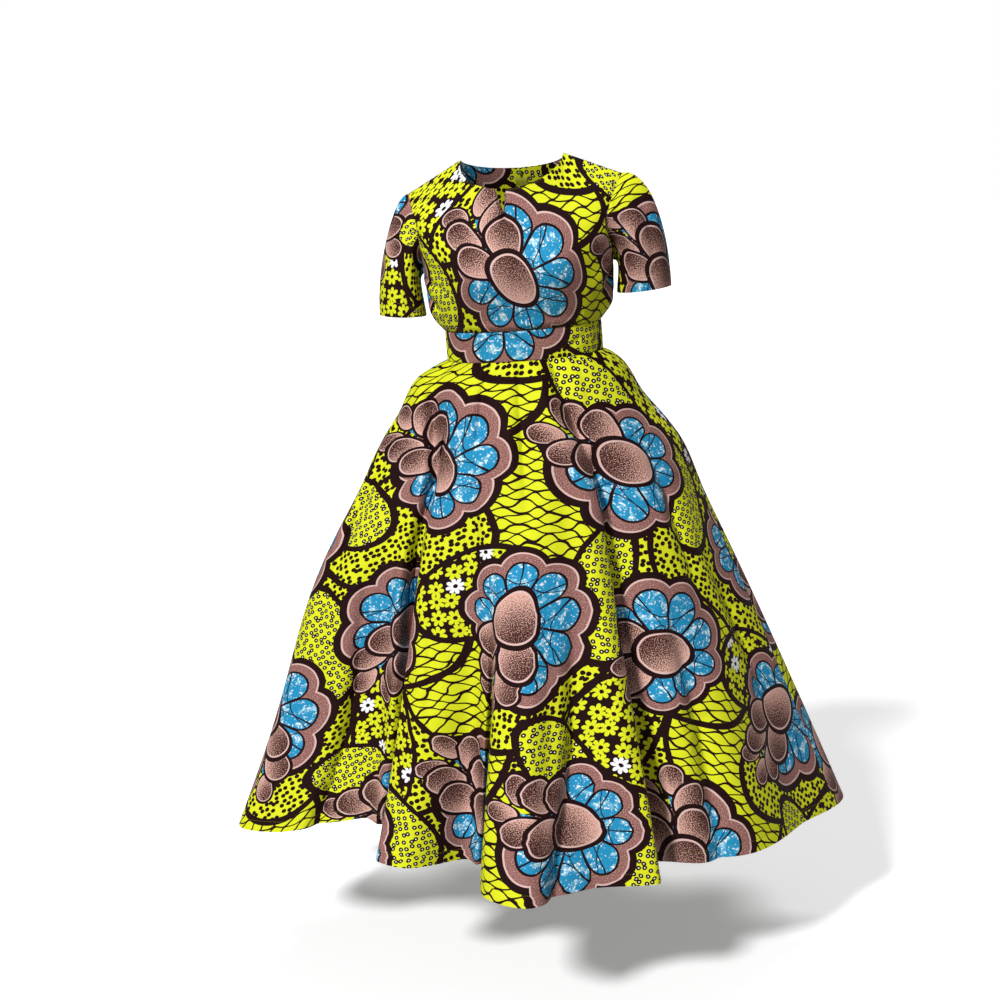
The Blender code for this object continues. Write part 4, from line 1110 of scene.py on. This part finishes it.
for sleeve in SLEEVES:
    climb = np.linspace(0, 1, 49)
    shares = ARMPIT_SHARE + (1 - ARMPIT_SHARE) * climb
    edge = np.array([float(sleeve.side)])
    front = bodice(True, edge, shares)[:, 0]
    back = bodice(False, edge, shares)[::-1, 0]
    ring = np.concatenate([front, back[1:]])
    turn = np.concatenate([(1 - climb) * math.pi, -climb[1:] * math.pi])
    along = unit(np.gradient(ring, axis=0))
    away = unit(np.cross(armhole_normal(sleeve.side, turn), along) * sleeve.side)
    away *= np.sign((away * [sleeve.side, 0, -0.3]).sum(axis=-1, keepdims=True))
    start = ring + away * ARMHOLE_GAP
    hem_x = sleeve.side * (sleeve.hem_x + sleeve.half_width * np.cos(turn))
    hem_y = 0.008 - sleeve.half_depth * np.sin(turn)
    hem_z = sleeve.hem_z + sleeve.lift * np.cos(turn)
    hem = np.stack([hem_x, hem_y, hem_z], axis=-1)
    raised = (1 + np.cos(turn)) / 2
    reach = UNDERARM_REACH + (sleeve.cap_reach - UNDERARM_REACH) * raised
    drop = UNDERARM_DROP + (CAP_DROP - UNDERARM_DROP) * raised
    nothing = np.zeros_like(turn)
    out_of_armhole = start + np.stack([sleeve.side * reach, nothing, sleeve.cap_rise * raised], axis=-1)
    above_hem = hem + np.stack([nothing, nothing, drop], axis=-1)
    down = np.concatenate([[0, 0.006, 0.016, 0.03], np.linspace(0.05, CUFF_TURNING - 0.02, 46),
                           CUFF_TURNING + np.array([-1, 0, 1]) * CUFF_GROOVE_WIDTH,
                           np.linspace(CUFF_TURNING + 0.02, 0.99, 8), [1.0]])
    t = down[:, None, None]
    points = start * (1 - t) ** 3 + out_of_armhole * 3 * t * (1 - t) ** 2
    points = pose(points + above_hem * 3 * t * t * (1 - t) + hem * t**3)
    around = np.linspace(0, 1, len(turn))
    girth = step_lengths(points, 1).sum(axis=1).mean()
    length = step_lengths(points, 0).sum(axis=0)
    drop_down = run_along(points, 0)
    across_cut = (around - 0.5)[None, :] * girth * np.ones((len(down), 1))
    cut = np.stack([across_cut + sleeve.cut[0], length[None, :] - drop_down + sleeve.cut[1]], axis=-1)
    facing = sleeve.side
    points = creased(points, around, down, facing, sleeve.creases, ("left", "right", "top"), 0.008)
    groove = np.exp(-(((down - CUFF_TURNING) / CUFF_GROOVE_WIDTH) ** 2)) * GROOVE_DEPTH
    points = points - groove[:, None, None] * outward_of(points, facing)
    turning = np.searchsorted(down, CUFF_TURNING)
    add_stitches(sleeve.name + "_stitches", [(points[turning], outward_of(points, facing)[turning])])
    hem_rows = [(row, HEM_CLOTH) for row in np.nonzero(down > CUFF_TURNING)[0]]
    tube = add_cloth(sleeve.name + "_cloth", points, facing, cut, hem_rows=hem_rows)
    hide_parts(sleeve.name)
    flat = (girth, length.max())


# The pockets.
# A bag of the same cotton hangs in each side seam, sewn flat round its far end. Its mouth stands open and
# the bag is filled out, as when it is used.
PocketRing = namedtuple("PocketRing", "forward half_turn depth half_depth middle half_height")
POCKET_RINGS = [
    PocketRing(0.7, 3.1, 0.0026, 0, 0.190, 0.094),
    PocketRing(1.5, 3.4, 0.0120, 0.004, 0.192, 0.097),
    PocketRing(4.0, 2.6, 0.0220, 0.011, 0.200, 0.103),
    PocketRing(9.0, 1.0, 0.0260, 0.015, 0.215, 0.111),
    PocketRing(17.0, 0.0, 0.0270, 0.016, 0.230, 0.115),
    PocketRing(25.0, 0.0, 0.0270, 0.013, 0.240, 0.107),
    PocketRing(31.0, 0.0, 0.0262, 0.0008, 0.245, 0.084),
]
POCKET_CREASES = [
    Crease((0.10, 0.15), (0.22, 0.75), 0.02, 0.009, (0.002, 0.005, 0)),
    Crease((0.30, 0.10), (0.26, 0.60), -0.02, 0.010, (0, 0.004, 0.002)),
    Crease((0.42, 0.35), (0.34, 0.90), 0.02, 0.008, (0.001, 0.003, 0)),
    Crease((0.70, 0.20), (0.78, 0.80), 0.02, 0.009, (0, 0.004, 0)),
]


def skirt_normal(angle, share):
    """Outward directions of the skirt's skin."""
    turn_step, share_step = 0.05, 0.002
    upper = np.maximum(share - share_step, 0)
    lower = np.minimum(share + share_step, 1)
    across = skirt(angle + turn_step, share) - skirt(angle - turn_step, share)
    down = skirt(angle, lower) - skirt(angle, upper)
    return unit(np.cross(down, across))


pocket_steps = np.arange(len(POCKET_RINGS), dtype=float)
pocket_table = np.array(POCKET_RINGS)
pocket_slopes = np.gradient(pocket_table, axis=0)
pocket_down = np.linspace(0, len(POCKET_RINGS) - 1, 73)
pocket_around = np.linspace(0, 1, 97)
turn = pocket_around * 2 * math.pi
for name, side in (("pocket_left", 1), ("pocket_right", -1)):
    rings = []
    for row in through(pocket_steps, pocket_table, pocket_slopes, pocket_down):
        ring = PocketRing(*row)
        angle = side * (90 - ring.forward + max(ring.half_turn, 0) * np.sin(turn))
        height = ring.middle + ring.half_height * np.cos(turn)
        depth = ring.depth + max(ring.half_depth, 0) * np.sin(turn)
        rings.append(skirt(angle, height) - depth[:, None] * skirt_normal(angle, height))
    points = np.stack(rings)
    girth = step_lengths(points, 1).sum(axis=1).mean()
    length = step_lengths(points, 0).sum(axis=0).mean()
    down = pocket_down / pocket_down[-1]
    across_cut = (pocket_around - 0.5)[None, :] * girth
    cut = np.stack(np.broadcast_arrays(across_cut, (1 - down)[:, None] * length), axis=-1)
    points = creased(points, pocket_around, down, side, POCKET_CREASES, ALL_SEAMS)
    bag = add_cloth(name + "_cloth", points, side, cut)
    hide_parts(name)


# The zip.
# A concealed zip: its tape lies inside the centre back seam with a coil down its middle. The slider sits at
# the top of the seam with its tab hanging outside, both of metal enamelled in a darker green.
TAPE_HALF_WIDTH = 0.011
TAPE_DEPTH = 0.0010
TAPE_THICKNESS = 0.0006
COIL_PITCH = 0.0016
COIL_LENGTH = 0.0030
COIL_THICKNESS = 0.0009
# The tape's two greens are darker than the cloth's: partly the tape's own green, partly painted shade for a
# tape lying inside the seam
SHADED_TAPE_GREENS = ((0.34, 0.37, 0.014), (0.22, 0.25, 0.008))
COIL_GREENS = ((0.40, 0.44, 0.02), (0.32, 0.36, 0.012))
ENAMEL_AND_METAL = ((0.20, 0.24, 0.012), (0.55, 0.54, 0.50))
RELIEF_DEPTH = 0.0001
TAPE_PITCH = 0.004


def finish_of(name, tones, grain, low, high, roughness, metallic=0.0, bump=0.0, stretch=(1, 1, 1)):
    """A finish of two tones that change in grains of that size, between a grain's low and high value."""
    paint = bpy.data.materials.new(name)
    paint.use_nodes = True
    tree = paint.node_tree
    place = made("TexCoord", {}, tree)["Object"]
    spread = made("Mapping", {"Vector": place, "Scale": stretch}, tree)["Vector"]
    grains = made("TexNoise", {"Vector": spread, "Scale": 1 / grain, "Detail": 3}, tree)["Fac"]
    share_of_grain = made("MapRange", {"Value": grains, "From Min": low, "From Max": high}, tree)["Result"]
    relief = made("Bump", {"Height": grains, "Strength": bump, "Distance": RELIEF_DEPTH}, tree)["Normal"]
    finish(tree, {"Base Color": painted(*tones, share_of_grain, tree), "Normal": relief,
                  "Roughness": roughness, "Metallic": metallic})
    return paint


tape_cloth = finish_of("zip_tape_cloth", SHADED_TAPE_GREENS, 0.0006, 0.4, 0.6, 0.85, bump=0.6, stretch=(1, 1, 0.3))
coil_nylon = finish_of("zip_coil", COIL_GREENS, 0.004, 0.4, 0.6, 0.35)
enamel = finish_of("zip_enamel", ENAMEL_AND_METAL, 0.0022, 0.62, 0.70, 0.24, metallic=0.3, bump=0.15)

halves = [[np.concatenate(columns) for columns in zip(*zip_edges[side])] for side in (1, -1)]
(seam_left, beside_left, out_left), (seam_right, beside_right, out_right) = halves
seam_line = (seam_left + seam_right) / 2
seam_out = unit(out_left + out_right)
edge_left = seam_left + unit(beside_left - seam_left) * TAPE_HALF_WIDTH
edge_right = seam_right + unit(beside_right - seam_right) * TAPE_HALF_WIDTH
line, _, outward, edge_left, edge_right = evenly(seam_line, TAPE_PITCH, seam_out, edge_left, edge_right)
outward = unit(outward)
tape_across = np.linspace(-1, 1, 9)[None, :, None]
points = np.where(tape_across < 0, line[:, None] + (edge_left - line)[:, None] * -tape_across,
                  line[:, None] + (edge_right - line)[:, None] * tape_across) - outward[:, None] * TAPE_DEPTH
tape_length = step_lengths(line, 0).sum()
tape_down = np.linspace(0, tape_length, len(line))
cut = np.stack(np.broadcast_arrays(tape_across[..., 0] * TAPE_HALF_WIDTH, -tape_down[:, None]), axis=-1)
tape = add_cloth("zip_tape_cloth", points, 1, cut, thickness=TAPE_THICKNESS, stuff=tape_cloth)
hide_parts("zip_tape")
coil_line = line - outward * (TAPE_DEPTH + TAPE_THICKNESS + COIL_THICKNESS * 0.4)
add_stitches("zip_coil", [(coil_line, -outward)], coil_nylon, COIL_PITCH, COIL_LENGTH,
             COIL_THICKNESS, across=1.0)
for name in ("zip_slider", "zip_pull_tab"):
    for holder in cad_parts[name].material_slots:
        holder.material = enamel
